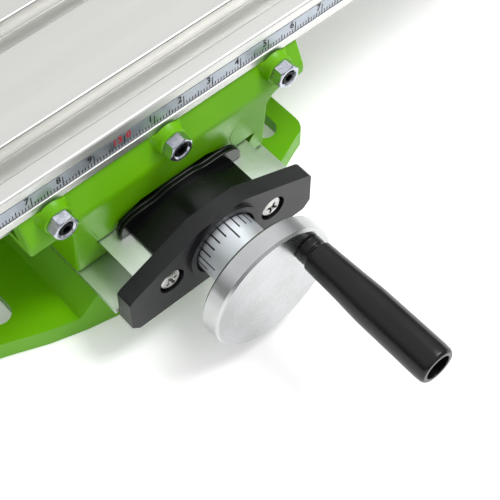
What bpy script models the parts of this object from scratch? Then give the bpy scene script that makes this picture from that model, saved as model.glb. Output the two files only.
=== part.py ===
"""Compound cross-slide table: a base with a dovetail rail, a saddle that slides on it,
and a T-slot table that slides across the saddle, each driven by a screw and a handwheel.

Frame: metres, +Z up.  The origin is the middle of the base's underside, +X runs along the
table towards its handwheel, and the saddle's handwheel is at -Y.
"""
import math

import bmesh
import bpy
from mathutils import Matrix, Vector

MM = 0.001

# ---- clearances ----------------------------------------------------------------------------
GAP = 0.3 * MM            # between pieces that touch
SLIDE = 0.35 * MM         # between the sliding faces of a dovetail
CUT = 1.0 * MM            # how far a cutter reaches past the face it opens

# ---- base ----------------------------------------------------------------------------------
EAR_REACH = 26.0 * MM     # of each ear past the rail's flange, before the rail's offset
EAR_HEIGHT = 7.0 * MM
EAR_WEB = 4.0 * MM        # floor of the ears above the hollow underside
EAR_WALL = 5.0 * MM
RAIL_OVERHANG = 5.0 * MM  # of the rail past the bowed ends
END_RADIUS = 128.0 * MM   # of the bowed front and back walls
CORNER_RADIUS = 6.0 * MM
PAD_HEIGHT = 15.0 * MM
PAD_SIDE_RUN = 6.0 * MM   # how far the pad's left side leans out towards its foot
SLOT_FROM_SIDE = 10.0 * MM
SLOT_FROM_END = 26.5 * MM
SLOT_WIDTH = 7.6 * MM
SLOT_LENGTH = 18.0 * MM

# ---- rail under the saddle -----------------------------------------------------------------
RAIL_OFFSET = 6.0 * MM    # the rail's middle stands this far towards +X of the base's
FLANGE_REACH = 7.2 * MM   # of the flange past the dovetail's top, each side
FLANGE_THICK = 1.7 * MM
RAIL_TOP_WIDTH = 53.6 * MM
RAIL_RISE = 9.5 * MM
DOVETAIL = math.radians(30.0)   # lean of every dovetail flank from the vertical
TROUGH_WIDTH = 20.0 * MM
TROUGH_FLOOR = 3.2 * MM
RAIL_BOLT_R = 2.0 * MM
RAIL_BOLT_HEAD_R = 4.0 * MM
RAIL_BOLT_LENGTH = 12.0 * MM
RAIL_BOLT_CONE = 2.4 * MM
RAIL_BOLT_SOCKET_R = 1.4 * MM
RAIL_BOLT_FROM_END = 12.0 * MM
RAIL_BOLT_PITCH = 32.0 * MM

# ---- saddle --------------------------------------------------------------------------------
WING_REACH = 13.0 * MM    # of the saddle's wings past its legs
SADDLE_DEPTH = 96.8 * MM
SADDLE_HEIGHT = 34.9 * MM
WALL_LEAN_RUN = 3.8 * MM  # the end walls lean out this far ...
WALL_LEAN_DROP = 8.1 * MM   # ... over this drop, then stand upright
WALL_UPRIGHT = 2.2 * MM
LEG_SET_BACK = 1.9 * MM
LEG_WALL = 8.2 * MM       # from the top of the rail's dovetail to the outside of a leg
WING_THICK = 11.7 * MM
ARCH_RADIUS = 5.0 * MM
CROSS_DEPTH = 8.8 * MM    # of the cross dovetail in the saddle's top
CROSS_LIP = 4.8 * MM      # from the saddle's end wall to the dovetail's sharp corner
TUNNEL_HALF = 19.5 * MM
TUNNEL_TOP = 6.4 * MM     # above the rail
TUNNEL_SHOULDER_RUN = 8.0 * MM
TUNNEL_SHOULDER_DROP = 3.0 * MM
Y_TRAVEL = 55.0 * MM
REAR_CLEAR = 1.0 * MM
COVER_CLEAR = 0.1 * MM    # from the cover's tip to the rail's end, at the front limit

# ---- gibs, their set screws and lock nuts --------------------------------------------------
GIB_THICK = 2.6 * MM
GIB_INSET = 4.0 * MM      # how far a gib stops short of the saddle's sides
GIB_SCREW_R = 2.0 * MM
X_GIB_SCREW_FROM_END = 9.7 * MM    # of the outer screws from the saddle's ends
Y_GIB_SCREW_FROM_END = 17.8 * MM
GIB_SOCKET_AF = 2.2 * MM
LOCK_NUT_AF = 7.0 * MM
GIB_SOCKET_DEPTH = 2.6 * MM
GIB_SCREW_SUNK = 0.15 * MM    # its outer end below the lock nut's face
LOCK_NUT_THICK = 3.2 * MM
BOSS_R = 4.7 * MM
BOSS_PROUD = 0.5 * MM     # past the foot of the leaning wall
X_GIB_SCREW_DROP = 3.2 * MM   # below the saddle's top
Y_GIB_SCREW_RISE = 5.0 * MM   # above the saddle's feet

# ---- cover over the screw, in the saddle's mouth -------------------------------------------
COVER_REACH = 14.1 * MM
COVER_HALF = 18.3 * MM
COVER_CROWN_HALF = 5.8 * MM
COVER_EDGE = 1.2 * MM     # height of its side edges above the rail's top
COVER_RISE = 5.5 * MM     # height of its crown above the rail's top
COVER_WALL = 1.6 * MM
COVER_SPIGOT = 9.0 * MM
RIM_HALF = 21.6 * MM
RIM_RISE = 2.4 * MM       # of the rim above the cover
RIM_THICK = 2.3 * MM

# ---- table ---------------------------------------------------------------------------------
TABLE_LENGTH = 310.0 * MM
TABLE_SET_BACK = 3.4 * MM   # of its long sides from the saddle's walls
TABLE_THICK = 11.5 * MM
TSLOT_FROM_SIDE = 10.0 * MM   # of the outer slots' middles from the table's sides
TSLOT_OPENING = 9.0 * MM
TSLOT_CHAMFER = 0.35 * MM
TABLE_BEVEL = 0.5 * MM
TSLOT_UNDERCUT = 12.6 * MM
TSLOT_LIP = 3.2 * MM
TSLOT_DEPTH = 8.0 * MM
CHANNEL_WIDTH = 16.0 * MM
CHANNEL_HEIGHT = 10.3 * MM
HOLLOW_HEIGHT = 6.0 * MM
HOLLOW_INNER_WALL = 4.5 * MM    # between the channel and a hollow
HOLLOW_FROM_SIDE = 15.9 * MM    # of a hollow from the saddle's wall
LIP_HEIGHT = 2.6 * MM
LIP_PROUD = 0.4 * MM
TAPE_HEIGHT = 4.8 * MM
TAPE_THICK = 0.4 * MM
TAPE_RECESS = 0.8 * MM
X_TRAVEL = 97.5 * MM      # each way

# ---- end plates and their screws -----------------------------------------------------------
PLATE_THICK = 5.6 * MM
PLATE_INSET = 1.1 * MM    # from the sides of the rail's flange
PLATE_TOP_HALF = 7.9 * MM
PLATE_BOTTOM = 13.5 * MM  # below the screw's axis
PLATE_SHOULDER = 0.1 * MM   # above the axis, at both ends
PLATE_CROWN = 11.8 * MM   # above the axis, in the middle
PLATE_CORNER = 2.5 * MM
PLATE_BEVEL = 1.2 * MM
PLATE_CROWN_RUN = 2.0 * MM
PLATE_CROWN_DROP = 0.9 * MM
PLATE_SCREW_INSET = 8.45 * MM   # from the sides of the rail's dovetail
PLATE_SCREW_DROP = 2.1 * MM
PLATE_RING_R = 12.3 * MM
PLATE_RING_PROUD = 1.1 * MM
DIAL_SINK = 1.0 * MM      # depth of the ring's recess into the plate
DIAL_CLEAR = 0.9 * MM     # between the recess and the dial
X_PLATE_INSET = 2.0 * MM  # from the table's long sides
X_PLATE_DROP = 0.8 * MM   # of its top below the table's
X_PLATE_SCREW_DROP = 8.5 * MM   # of its screws below the table's top
X_PLATE_CHIN_HALF = 16.0 * MM
X_PLATE_CHIN_RUN = 8.0 * MM
SCREW_R = 2.0 * MM
SCREW_HEAD_R = 3.7 * MM
SCREW_HEAD_THICK = 2.3 * MM
SCREW_LENGTH = 14.0 * MM
COUNTERBORE_DEPTH = 2.9 * MM
COUNTERBORE_CLEAR = 0.5 * MM

# ---- leadscrews and nuts -------------------------------------------------------------------
LEADSCREW_R = 4.0 * MM
JOURNAL_R = 3.0 * MM
Y_AXIS_DROP = 1.8 * MM    # of the saddle's screw below the rail's top
X_AXIS_RISE = 4.8 * MM    # of the table's screw above the floor of the cross dovetail
BUSH_R = 4.5 * MM
BUSH_COLLAR_R = 6.0 * MM
BUSH_COLLAR_THICK = 0.8 * MM
BUSH_SHORT = 1.0 * MM     # of the bush's barrel, for the recess in the plate
NUT_LENGTH = 20.0 * MM
NUT_HALF = 7.0 * MM
END_NUT_AF = 10.0 * MM
END_NUT_THICK = 4.0 * MM
END_NUT_CLEAR = 0.1 * MM
SCREW_END_PROUD = 2.0 * MM    # past the end nut
SCREW_END_CHAMFER = 0.4 * MM
NUT_SCREW_R = 2.0 * MM
NUT_SCREW_HEAD_R = 3.5 * MM
NUT_SCREW_HEAD_THICK = 2.2 * MM
NUT_SCREW_GRIP = 2.8 * MM
NUT_POCKET = 3.9 * MM     # how far the table's nut is let into the saddle's floor
Y_NUT_SET_BACK = 24.0 * MM

# ---- dials, handwheels and handles ---------------------------------------------------------
DIAL_R = 9.7 * MM
DIAL_LENGTH = 14.0 * MM
DIAL_CHAMFER = 0.3 * MM
DIAL_GAP = 0.45 * MM      # between the dial and its plate
HUB_R = 6.2 * MM
HUB_LENGTH = 12.0 * MM
WHEEL_R = 20.5 * MM
WHEEL_THICK = 6.4 * MM
WHEEL_CHAMFER = 0.7 * MM
WHEEL_FACE_WALL = 2.4 * MM    # in front of the screw's end
DRIVE_PIN_R = 1.1 * MM
DRIVE_PIN_INSET = 4.0 * MM
DRIVE_PIN_SHORT = 0.2 * MM
HANDLE_PITCH_R = 14.6 * MM
HANDLE_ANGLE = math.radians(50.7)   # from straight up, towards the right hand
HANDLE_LENGTH = 48.6 * MM
HANDLE_ROOT_R = 4.75 * MM
HANDLE_THIRD_R = 5.25 * MM
HANDLE_BELLY_R = 5.7 * MM
HANDLE_END_R = 5.85 * MM
HANDLE_NECK_R = 3.7 * MM
HANDLE_COLLAR = 0.5 * MM  # of the collar at its root over the neck
HANDLE_BORE_R = 2.3 * MM
HANDLE_MOUTH_R = 3.9 * MM
HANDLE_MOUTH_DEPTH = 13.0 * MM
HANDLE_PIN_R = 2.0 * MM
HANDLE_PIN_HEAD_R = 3.4 * MM
HANDLE_PIN_HEAD_THICK = 2.5 * MM
HANDLE_PIN_SEAT = 4.2 * MM

# ---- heights and places that follow --------------------------------------------------------
RAIL_Z = PAD_HEIGHT + GAP
FLANGE_TOP = RAIL_Z + FLANGE_THICK
RAIL_TOP = FLANGE_TOP + RAIL_RISE
TROUGH_Z = RAIL_Z + TROUGH_FLOOR
FOOT_Z = FLANGE_TOP + GAP
SADDLE_TOP = FOOT_Z + SADDLE_HEIGHT
CROSS_FLOOR = SADDLE_TOP - CROSS_DEPTH
TABLE_Z = SADDLE_TOP + GAP
TABLE_TOP = TABLE_Z + TABLE_THICK
DOVETAIL_Z = CROSS_FLOOR + GAP
Y_AXIS_Z = RAIL_TOP - Y_AXIS_DROP
X_AXIS_Z = CROSS_FLOOR + X_AXIS_RISE

FLANGE_WIDTH = RAIL_TOP_WIDTH + 2 * FLANGE_REACH
LEG_HALF_WIDTH = RAIL_TOP_WIDTH / 2 + LEG_WALL
SADDLE_WIDTH = 2 * (LEG_HALF_WIDTH + WING_REACH)
PLATE_HALF = FLANGE_WIDTH / 2 - PLATE_INSET
PLATE_SCREW_X = RAIL_TOP_WIDTH / 2 - PLATE_SCREW_INSET

RAIL_LENGTH = COVER_REACH + COVER_CLEAR + SADDLE_DEPTH + Y_TRAVEL + REAR_CLEAR
RAIL_END = RAIL_LENGTH / 2
BASE_WIDTH = FLANGE_WIDTH + 2 * EAR_REACH
BASE_DEPTH = RAIL_LENGTH - 2 * RAIL_OVERHANG
SADDLE_Y = -RAIL_END + COVER_REACH + COVER_CLEAR + SADDLE_DEPTH / 2
SADDLE_FRONT = SADDLE_Y - SADDLE_DEPTH / 2
X_GIB_SCREW_PITCH = SADDLE_WIDTH / 2 - X_GIB_SCREW_FROM_END
Y_GIB_SCREW_PITCH = SADDLE_DEPTH / 2 - Y_GIB_SCREW_FROM_END

TABLE_WIDTH = SADDLE_DEPTH - 2 * TABLE_SET_BACK
TSLOT_PITCH = TABLE_WIDTH / 2 - TSLOT_FROM_SIDE
HOLLOW_INNER = CHANNEL_WIDTH / 2 + HOLLOW_INNER_WALL
HOLLOW_OUTER = SADDLE_DEPTH / 2 - HOLLOW_FROM_SIDE
X_PLATE_HALF = TABLE_WIDTH / 2 - X_PLATE_INSET
TABLE_X = RAIL_OFFSET     # the table stands midway on the saddle
TABLE_END = TABLE_LENGTH / 2
LEAN = math.tan(DOVETAIL)

COLOURS = {
    "green_enamel": ((0.15, 0.42, 0.008, 1), 0.3, 0.0),
    "aluminium": ((0.72, 0.74, 0.74, 1), 0.38, 1.0),
    "black_plastic": ((0.012, 0.013, 0.014, 1), 0.35, 0.0),
    "steel": ((0.55, 0.56, 0.58, 1), 0.3, 1.0),
    "turned_steel": ((0.7, 0.71, 0.72, 1), 0.22, 1.0),
    "black_oxide": ((0.02, 0.02, 0.02, 1), 0.4, 0.6),
    "bronze": ((0.5, 0.3, 0.09, 1), 0.35, 1.0),
    "tape": ((0.6, 0.63, 0.66, 1), 0.45, 0.4),
}


# ---- tools ---------------------------------------------------------------------------------
def clear_scene():
    """Remove whatever the file holds, so that a run always starts from nothing."""
    for obj in list(bpy.data.objects):
        bpy.data.objects.remove(obj, do_unlink=True)


def new_collection(name):
    """A collection linked to the scene."""
    collection = bpy.data.collections.new(name)
    bpy.context.scene.collection.children.link(collection)
    return collection


def material_for(name, finish):
    """A Principled material of one of the finishes above, for one part."""
    colour, roughness, metallic = COLOURS[finish]
    material = bpy.data.materials.new(name + "_" + finish)
    material.use_nodes = True
    shader = material.node_tree.nodes["Principled BSDF"]
    shader.inputs["Base Color"].default_value = colour
    shader.inputs["Roughness"].default_value = roughness
    shader.inputs["Metallic"].default_value = metallic
    return material


def take(obj, name, finish):
    """Make a mesh object one of the parts: its name, its material and its collection."""
    obj.name = name
    obj.data.name = name
    obj.data.materials.clear()
    obj.data.materials.append(material_for(name, finish))
    for collection in list(obj.users_collection):
        collection.objects.unlink(obj)
    PARTS.objects.link(obj)
    return obj


def hide_cutter(obj):
    """Put a shape that only cuts or joins with the cutters, out of the model."""
    for collection in list(obj.users_collection):
        collection.objects.unlink(obj)
    CUTTERS.objects.link(obj)
    obj.hide_render = True
    obj.display_type = "WIRE"
    return obj


def outline_solid(points, length, axis, middle=0.0):
    """A closed outline drawn square to an axis and drawn out evenly along it.

    Across X the outline's points are (y, z), across Y they are (x, z), across Z (x, y).
    """
    curve = bpy.data.curves.new("outline", "CURVE")
    curve.dimensions = "2D"
    curve.fill_mode = "NONE"
    curve.extrude = length / 2
    spline = curve.splines.new("POLY")
    spline.points.add(len(points) - 1)
    for point, (u, v) in zip(spline.points, points):
        point.co = (u, v, 0, 1)
    spline.use_cyclic_u = True
    drawn = bpy.data.objects.new("outline", curve)
    bpy.context.scene.collection.objects.link(drawn)
    turns = {"X": (math.pi / 2, 0, math.pi / 2), "Y": (math.pi / 2, 0, 0), "Z": (0, 0, 0)}
    drawn.rotation_euler = turns[axis]
    drawn.location["XYZ".index(axis)] = middle
    bpy.context.view_layer.update()
    graph = bpy.context.evaluated_depsgraph_get()
    mesh = bpy.data.meshes.new_from_object(drawn.evaluated_get(graph))
    solid = bpy.data.objects.new("solid", mesh)
    solid.matrix_world = drawn.matrix_world
    bpy.context.scene.collection.objects.link(solid)
    bpy.data.objects.remove(drawn, do_unlink=True)
    weld(mesh)
    return solid


def weld(mesh):
    """Join a mesh's seams, close its open ends with flat caps and turn its faces outwards."""
    work = bmesh.new()
    work.from_mesh(mesh)
    bmesh.ops.remove_doubles(work, verts=work.verts, dist=0.00001)
    bmesh.ops.holes_fill(work, edges=[edge for edge in work.edges if edge.is_boundary])
    bmesh.ops.recalc_face_normals(work, faces=work.faces)
    work.to_mesh(mesh)
    work.free()


def block(low, high):
    """A box between two corners."""
    size = Vector(high) - Vector(low)
    bpy.ops.mesh.primitive_cube_add(size=1, location=(Vector(low) + Vector(high)) / 2)
    obj = bpy.context.object
    obj.scale = size
    bpy.ops.object.transform_apply(location=False, rotation=False, scale=True)
    return obj


def along(axis):
    """The turn that lays a cylinder's length along an axis."""
    turns = {"X": (0, math.pi / 2, 0), "Y": (math.pi / 2, 0, 0), "Z": (0, 0, 0)}
    return turns[axis]


def rod(radius, start, end, axis, sides=32, turn=0.0):
    """A cylinder or a prism from a start point to an end coordinate along an axis."""
    index = "XYZ".index(axis)
    middle = Vector(start)
    middle[index] = (start[index] + end) / 2
    bpy.ops.mesh.primitive_cylinder_add(
        vertices=sides, radius=radius, depth=abs(end - start[index]), location=middle
    )
    obj = bpy.context.object
    if turn:
        obj.data.transform(Matrix.Rotation(turn, 4, "Z"))
    obj.rotation_euler = along(axis)
    bpy.ops.object.transform_apply(location=False, rotation=True, scale=False)
    return obj


def turned(profile, place, axis, sides=32, ring=False):
    """A turned piece: (radius, distance) points from one end to the other, spun about an
    axis with a Screw modifier.  A distance is measured from the place along the axis.
    A ring's profile is a closed loop that stays clear of the axis."""
    mesh = bpy.data.meshes.new("turned")
    points = [(r, 0, -d) for r, d in profile]
    edges = [(i, i + 1) for i in range(len(points) - 1)]
    if ring:
        edges.append((len(points) - 1, 0))
    mesh.from_pydata(points, edges, [])
    obj = bpy.data.objects.new("turned", mesh)
    bpy.context.scene.collection.objects.link(obj)
    screw = obj.modifiers.new("turn", "SCREW")
    screw.steps = sides
    screw.render_steps = sides
    screw.use_merge_vertices = True
    screw.merge_threshold = 0.00001
    bpy.context.view_layer.update()
    graph = bpy.context.evaluated_depsgraph_get()
    solid_mesh = bpy.data.meshes.new_from_object(obj.evaluated_get(graph))
    bpy.data.objects.remove(obj, do_unlink=True)
    weld(solid_mesh)
    solid = bpy.data.objects.new("turned", solid_mesh)
    bpy.context.scene.collection.objects.link(solid)
    solid.location = place
    turns = {"-Y": (-math.pi / 2, 0, 0), "Y": (math.pi / 2, 0, 0), "X": (0, -math.pi / 2, 0),
             "-X": (0, math.pi / 2, 0), "Z": (math.pi, 0, 0), "-Z": (0, 0, 0)}
    solid.rotation_euler = turns[axis]
    return solid


def combine(obj, tool, operation):
    """Cut a tool out of an object, or join it on."""
    hide_cutter(tool)
    modifier = obj.modifiers.new(operation.lower(), "BOOLEAN")
    modifier.operation = operation
    modifier.solver = "EXACT"
    modifier.object = tool


def cut(obj, *tools):
    """Take each tool's shape out of an object."""
    for tool in tools:
        combine(obj, tool, "DIFFERENCE")


def join(obj, *tools):
    """Add each tool's shape to an object."""
    for tool in tools:
        combine(obj, tool, "UNION")


def smooth(obj, angle=35.0):
    """Shade a round piece smooth, with its real corners kept sharp."""
    obj.data.shade_smooth()
    obj.data.set_sharp_from_angle(angle=math.radians(angle))
    return obj


def slot_outline(width, length, x, y, steps=8):
    """The outline of a slot with round ends, its length along Y, around a middle point."""
    radius = width / 2
    straight = length / 2 - radius
    points = []
    for end in (1, -1):
        for step in range(steps + 1):
            angle = math.pi * step / steps + (0 if end == 1 else math.pi)
            points.append((x + radius * math.cos(angle),
                           y + end * straight + radius * math.sin(angle)))
    return points


def hexagon_radius(across_flats):
    """The corner radius of a hexagon of a given size across its flats."""
    return across_flats / 2 / math.cos(math.pi / 6)


# ---- base and rail -------------------------------------------------------------------------
def bowed_outline(half_width, half_depth, steps=10):
    """The base's plan: straight sides, bowed front and back, rounded corners."""
    reach = half_width - CORNER_RADIUS
    arc = [-reach + 2 * reach * i / steps for i in range(steps + 1)]
    points = [(x, bow(x, half_depth)) for x in arc]
    corner = bow(reach, half_depth)
    turn = math.atan2(reach, END_RADIUS)
    for step in range(1, 5):
        angle = math.pi / 2 - turn - (math.pi / 2 - turn) * step / 4
        points.append((reach + CORNER_RADIUS * math.cos(angle),
                       corner - CORNER_RADIUS + CORNER_RADIUS * math.sin(angle)))
    left = [(-x, y) for x, y in points[-1:steps:-1]]
    front = left + points
    return front + [(x, -y) for x, y in reversed(front)]


def bow(x, half_depth):
    """How far out the bowed end wall stands at a place across the base."""
    return half_depth - END_RADIUS + math.sqrt(END_RADIUS ** 2 - x ** 2)


def make_base():
    """The cast base: ears with mounting slots, hollow underneath, and a raised rail pad."""
    half_depth = BASE_DEPTH / 2
    base = outline_solid(bowed_outline(BASE_WIDTH / 2, half_depth), PAD_HEIGHT, "Z",
                         PAD_HEIGHT / 2)
    half = FLANGE_WIDTH / 2
    outside = BASE_WIDTH / 2 + CUT
    above = PAD_HEIGHT + CUT
    slope = PAD_SIDE_RUN / (PAD_HEIGHT - EAR_HEIGHT)
    left = [(RAIL_OFFSET - half - PAD_SIDE_RUN, EAR_HEIGHT), (-outside, EAR_HEIGHT),
            (-outside, above), (RAIL_OFFSET - half + CUT * slope, above)]
    cut(base, outline_solid(left, BASE_DEPTH + 2 * CUT, "Y"))
    cut(base, block((RAIL_OFFSET + half, -half_depth - CUT, EAR_HEIGHT),
                    (outside, half_depth + CUT, above)))
    left_inner = RAIL_OFFSET - half - EAR_WALL
    right_inner = RAIL_OFFSET + half - EAR_WALL
    outer = BASE_WIDTH / 2 - EAR_WALL
    reach = bow(outer, half_depth) - EAR_WALL
    pocket_z = EAR_HEIGHT - EAR_WEB
    cut(base, block((-outer, -reach, -CUT), (left_inner, reach, pocket_z)))
    cut(base, block((right_inner, -reach, -CUT), (outer, reach, pocket_z)))
    for side_x in (-1, 1):
        for side_y in (-1, 1):
            cut(base, outline_solid(
                slot_outline(SLOT_WIDTH, SLOT_LENGTH,
                             side_x * (BASE_WIDTH / 2 - SLOT_FROM_SIDE),
                             side_y * (half_depth - SLOT_FROM_END)), 4 * EAR_HEIGHT, "Z"))
    for x, y in rail_bolt_places():
        cut(base, rod(RAIL_BOLT_R + GAP, (x, y, RAIL_Z - RAIL_BOLT_LENGTH), RAIL_Z + CUT, "Z",
                      16))
    return take(base, "base", "green_enamel")


def rail_bolt_places():
    """The four bolts in the rail's trough, two near each end."""
    outer = RAIL_END - RAIL_BOLT_FROM_END
    inner = outer - RAIL_BOLT_PITCH
    return [(RAIL_OFFSET, y) for y in (-outer, -inner, inner, outer)]


def rail_outline():
    """The rail's section: a flat flange, and a raised dovetail with a trough for the screw."""
    flange = FLANGE_WIDTH / 2
    top = RAIL_TOP_WIDTH / 2
    neck = top - RAIL_RISE * LEAN
    trough = TROUGH_WIDTH / 2
    right = [(flange, RAIL_Z), (flange, FLANGE_TOP), (neck, FLANGE_TOP), (top, RAIL_TOP),
             (trough, RAIL_TOP), (trough, TROUGH_Z)]
    left = [(-x, z) for x, z in reversed(right)]
    return [(RAIL_OFFSET + x, z) for x, z in right + left]


def make_rail():
    """The extruded rail, bored for its bolts and for the end plates' screws."""
    rail = outline_solid(rail_outline(), RAIL_LENGTH, "Y")
    for x, y in rail_bolt_places():
        cut(rail, rod(RAIL_BOLT_R + GAP, (x, y, RAIL_Z - CUT), TROUGH_Z + CUT, "Z", 16))
        foot = TROUGH_FLOOR - GAP - RAIL_BOLT_CONE
        cone = turned([(0, -CUT), (RAIL_BOLT_R + GAP, -CUT), (RAIL_BOLT_R + GAP, foot - GAP),
                       (RAIL_BOLT_HEAD_R + GAP, TROUGH_FLOOR - 2 * GAP),
                       (RAIL_BOLT_HEAD_R + GAP, TROUGH_FLOOR + CUT), (0, TROUGH_FLOOR + CUT)],
                      (x, y, RAIL_Z), "Z", 16)
        cut(rail, cone)
    for side in (-1, 1):
        for end in (-1, 1):
            start = (RAIL_OFFSET + side * PLATE_SCREW_X, end * (RAIL_END + CUT),
                     Y_AXIS_Z - PLATE_SCREW_DROP)
            cut(rail, rod(SCREW_R + GAP, start, end * (RAIL_END - SCREW_LENGTH), "Y", 16))
    return take(rail, "y_rail", "aluminium")


def make_rail_bolts():
    """Countersunk bolts that hold the rail down on the base's pad."""
    for number, (x, y) in enumerate(rail_bolt_places(), 1):
        top = TROUGH_Z - GAP
        bolt = turned(
            [(0, 0), (RAIL_BOLT_R, 0), (RAIL_BOLT_R, RAIL_BOLT_LENGTH - RAIL_BOLT_CONE),
             (RAIL_BOLT_HEAD_R, RAIL_BOLT_LENGTH - GAP),
             (RAIL_BOLT_HEAD_R, RAIL_BOLT_LENGTH), (0, RAIL_BOLT_LENGTH)],
            (x, y, top - RAIL_BOLT_LENGTH), "Z", 24)
        cut(bolt, rod(RAIL_BOLT_SOCKET_R, (x, y, top - RAIL_BOLT_SOCKET_R), top + CUT, "Z", 6))
        take(smooth(bolt), "rail_bolt_" + str(number), "steel")


# ---- end plates ----------------------------------------------------------------------------
def crowned_outline():
    """An end plate's face about the screw's axis: flat foot, low shoulders, raised crown."""
    right = [(PLATE_HALF - PLATE_CORNER, -PLATE_BOTTOM),
             (PLATE_HALF, -PLATE_BOTTOM + PLATE_CORNER), (PLATE_HALF, PLATE_SHOULDER),
             (PLATE_HALF - PLATE_BEVEL, PLATE_SHOULDER + PLATE_BEVEL),
             (PLATE_TOP_HALF + PLATE_CROWN_RUN, PLATE_CROWN - PLATE_CROWN_DROP),
             (PLATE_TOP_HALF, PLATE_CROWN)]
    return right + [(-x, z) for x, z in reversed(right)]


def make_y_end_plate(name, side):
    """A rail end plate, its ring and counterbores on the side that faces away."""
    back = side * (RAIL_END + GAP)
    face = back + side * PLATE_THICK
    points = [(RAIL_OFFSET + x, Y_AXIS_Z + z) for x, z in crowned_outline()]
    plate = outline_solid(points, PLATE_THICK, "Y", (back + face) / 2)
    axis = (RAIL_OFFSET, face, Y_AXIS_Z)
    join(plate, rod(PLATE_RING_R, (axis[0], face - side * CUT, axis[2]),
                    face + side * PLATE_RING_PROUD, "Y", 40))
    cut(plate, rod(DIAL_R + DIAL_CLEAR, (axis[0], face - side * DIAL_SINK, axis[2]),
                   face + side * (PLATE_RING_PROUD + CUT), "Y", 40))
    cut(plate, rod(BUSH_R + GAP, (axis[0], back - side * CUT, axis[2]), face + side * CUT, "Y",
                   24))
    for flank in (-1, 1):
        x = RAIL_OFFSET + flank * PLATE_SCREW_X
        z = Y_AXIS_Z - PLATE_SCREW_DROP
        cut(plate, rod(SCREW_R + GAP, (x, back - side * CUT, z), face + side * CUT, "Y", 16))
        cut(plate, rod(SCREW_HEAD_R + COUNTERBORE_CLEAR,
                       (x, face - side * COUNTERBORE_DEPTH, z), face + side * CUT, "Y", 24))
        make_pan_screw(name.replace("end_plate", "plate_screw_") + ("left", "right")[flank > 0],
                       (x, face - side * (COUNTERBORE_DEPTH - GAP), z), "Y" if side < 0 else "-Y")
    make_bush(name.replace("end_plate", "bush"), (axis[0], back, axis[2]),
              "Y" if side > 0 else "-Y")
    return take(plate, name, "black_plastic")


def make_pan_screw(name, seat, inward):
    """A pan-head screw: the underside of its head at the seat, its shank going inwards."""
    outward = {"Y": "-Y", "-Y": "Y", "X": "-X", "-X": "X"}[inward]
    screw = turned(
        [(0, -SCREW_LENGTH), (SCREW_R, -SCREW_LENGTH), (SCREW_R, 0), (SCREW_HEAD_R, 0),
         (SCREW_HEAD_R, 0.45 * SCREW_HEAD_THICK),
         (0.9 * SCREW_HEAD_R, 0.8 * SCREW_HEAD_THICK),
         (0.6 * SCREW_HEAD_R, SCREW_HEAD_THICK), (0, SCREW_HEAD_THICK)],
        seat, outward, 24)
    take(smooth(screw), name, "steel")


def make_bush(name, seat, outward):
    """A bearing bush with a collar, pushed into an end plate from the outside."""
    length = PLATE_THICK - BUSH_SHORT
    bore = JOURNAL_R + GAP
    bush = turned([(bore, 0), (BUSH_R, 0), (BUSH_R, length + GAP),
                   (BUSH_COLLAR_R, length + GAP),
                   (BUSH_COLLAR_R, length + GAP + BUSH_COLLAR_THICK),
                   (bore, length + GAP + BUSH_COLLAR_THICK)], seat, outward, 24, ring=True)
    take(smooth(bush), name, "bronze")


def x_plate_screw_places():
    """The two screws of a table end plate, between the T-slots: their Y and Z."""
    z = TABLE_TOP - X_PLATE_SCREW_DROP
    return [(SADDLE_Y - TSLOT_PITCH / 2, z), (SADDLE_Y + TSLOT_PITCH / 2, z)]


def make_x_end_plate(name, side):
    """A table end plate: as wide as the table's body, with a chin down over the screw."""
    back = TABLE_X + side * (TABLE_END + GAP)
    face = back + side * PLATE_THICK
    top = TABLE_TOP - X_PLATE_DROP
    chin = X_AXIS_Z - PLATE_BOTTOM
    corner = PLATE_CORNER
    right = [(X_PLATE_CHIN_HALF - corner, chin), (X_PLATE_CHIN_HALF, chin + corner),
             (X_PLATE_CHIN_HALF + X_PLATE_CHIN_RUN, DOVETAIL_Z),
             (X_PLATE_HALF - corner, DOVETAIL_Z), (X_PLATE_HALF, DOVETAIL_Z + corner),
             (X_PLATE_HALF, top - corner), (X_PLATE_HALF - corner, top)]
    points = right + [(-y, z) for y, z in reversed(right)]
    plate = outline_solid([(SADDLE_Y + y, z) for y, z in points], PLATE_THICK, "X",
                          (back + face) / 2)
    y, z = SADDLE_Y, X_AXIS_Z
    join(plate, rod(PLATE_RING_R, (face - side * CUT, y, z), face + side * PLATE_RING_PROUD,
                    "X", 40))
    cut(plate, rod(DIAL_R + DIAL_CLEAR, (face - side * DIAL_SINK, y, z),
                   face + side * (PLATE_RING_PROUD + CUT), "X", 40))
    cut(plate, rod(BUSH_R + GAP, (back - side * CUT, y, z), face + side * CUT, "X", 24))
    for word, (screw_y, screw_z) in zip(("front", "back"), x_plate_screw_places()):
        cut(plate, rod(SCREW_R + GAP, (back - side * CUT, screw_y, screw_z),
                       face + side * CUT, "X", 16))
        cut(plate, rod(SCREW_HEAD_R + COUNTERBORE_CLEAR,
                       (face - side * COUNTERBORE_DEPTH, screw_y, screw_z),
                       face + side * CUT, "X", 24))
        make_pan_screw(name.replace("end_plate", "plate_screw_") + word,
                       (face - side * (COUNTERBORE_DEPTH - GAP), screw_y, screw_z),
                       "X" if side < 0 else "-X")
    make_bush(name.replace("end_plate", "bush"), (back, y, z), "X" if side > 0 else "-X")
    return take(plate, name, "black_plastic")


# ---- saddle --------------------------------------------------------------------------------
def saddle_outline():
    """The saddle's section along the rail: leaning end walls over set-back legs."""
    half = SADDLE_DEPTH / 2
    back = [(half - LEG_SET_BACK, FOOT_Z), (half, SADDLE_TOP - WALL_LEAN_DROP - WALL_UPRIGHT),
            (half, SADDLE_TOP - WALL_LEAN_DROP), (half - WALL_LEAN_RUN, SADDLE_TOP)]
    points = back + [(-y, z) for y, z in reversed(back)]
    return [(SADDLE_Y + y, z) for y, z in points]


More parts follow.
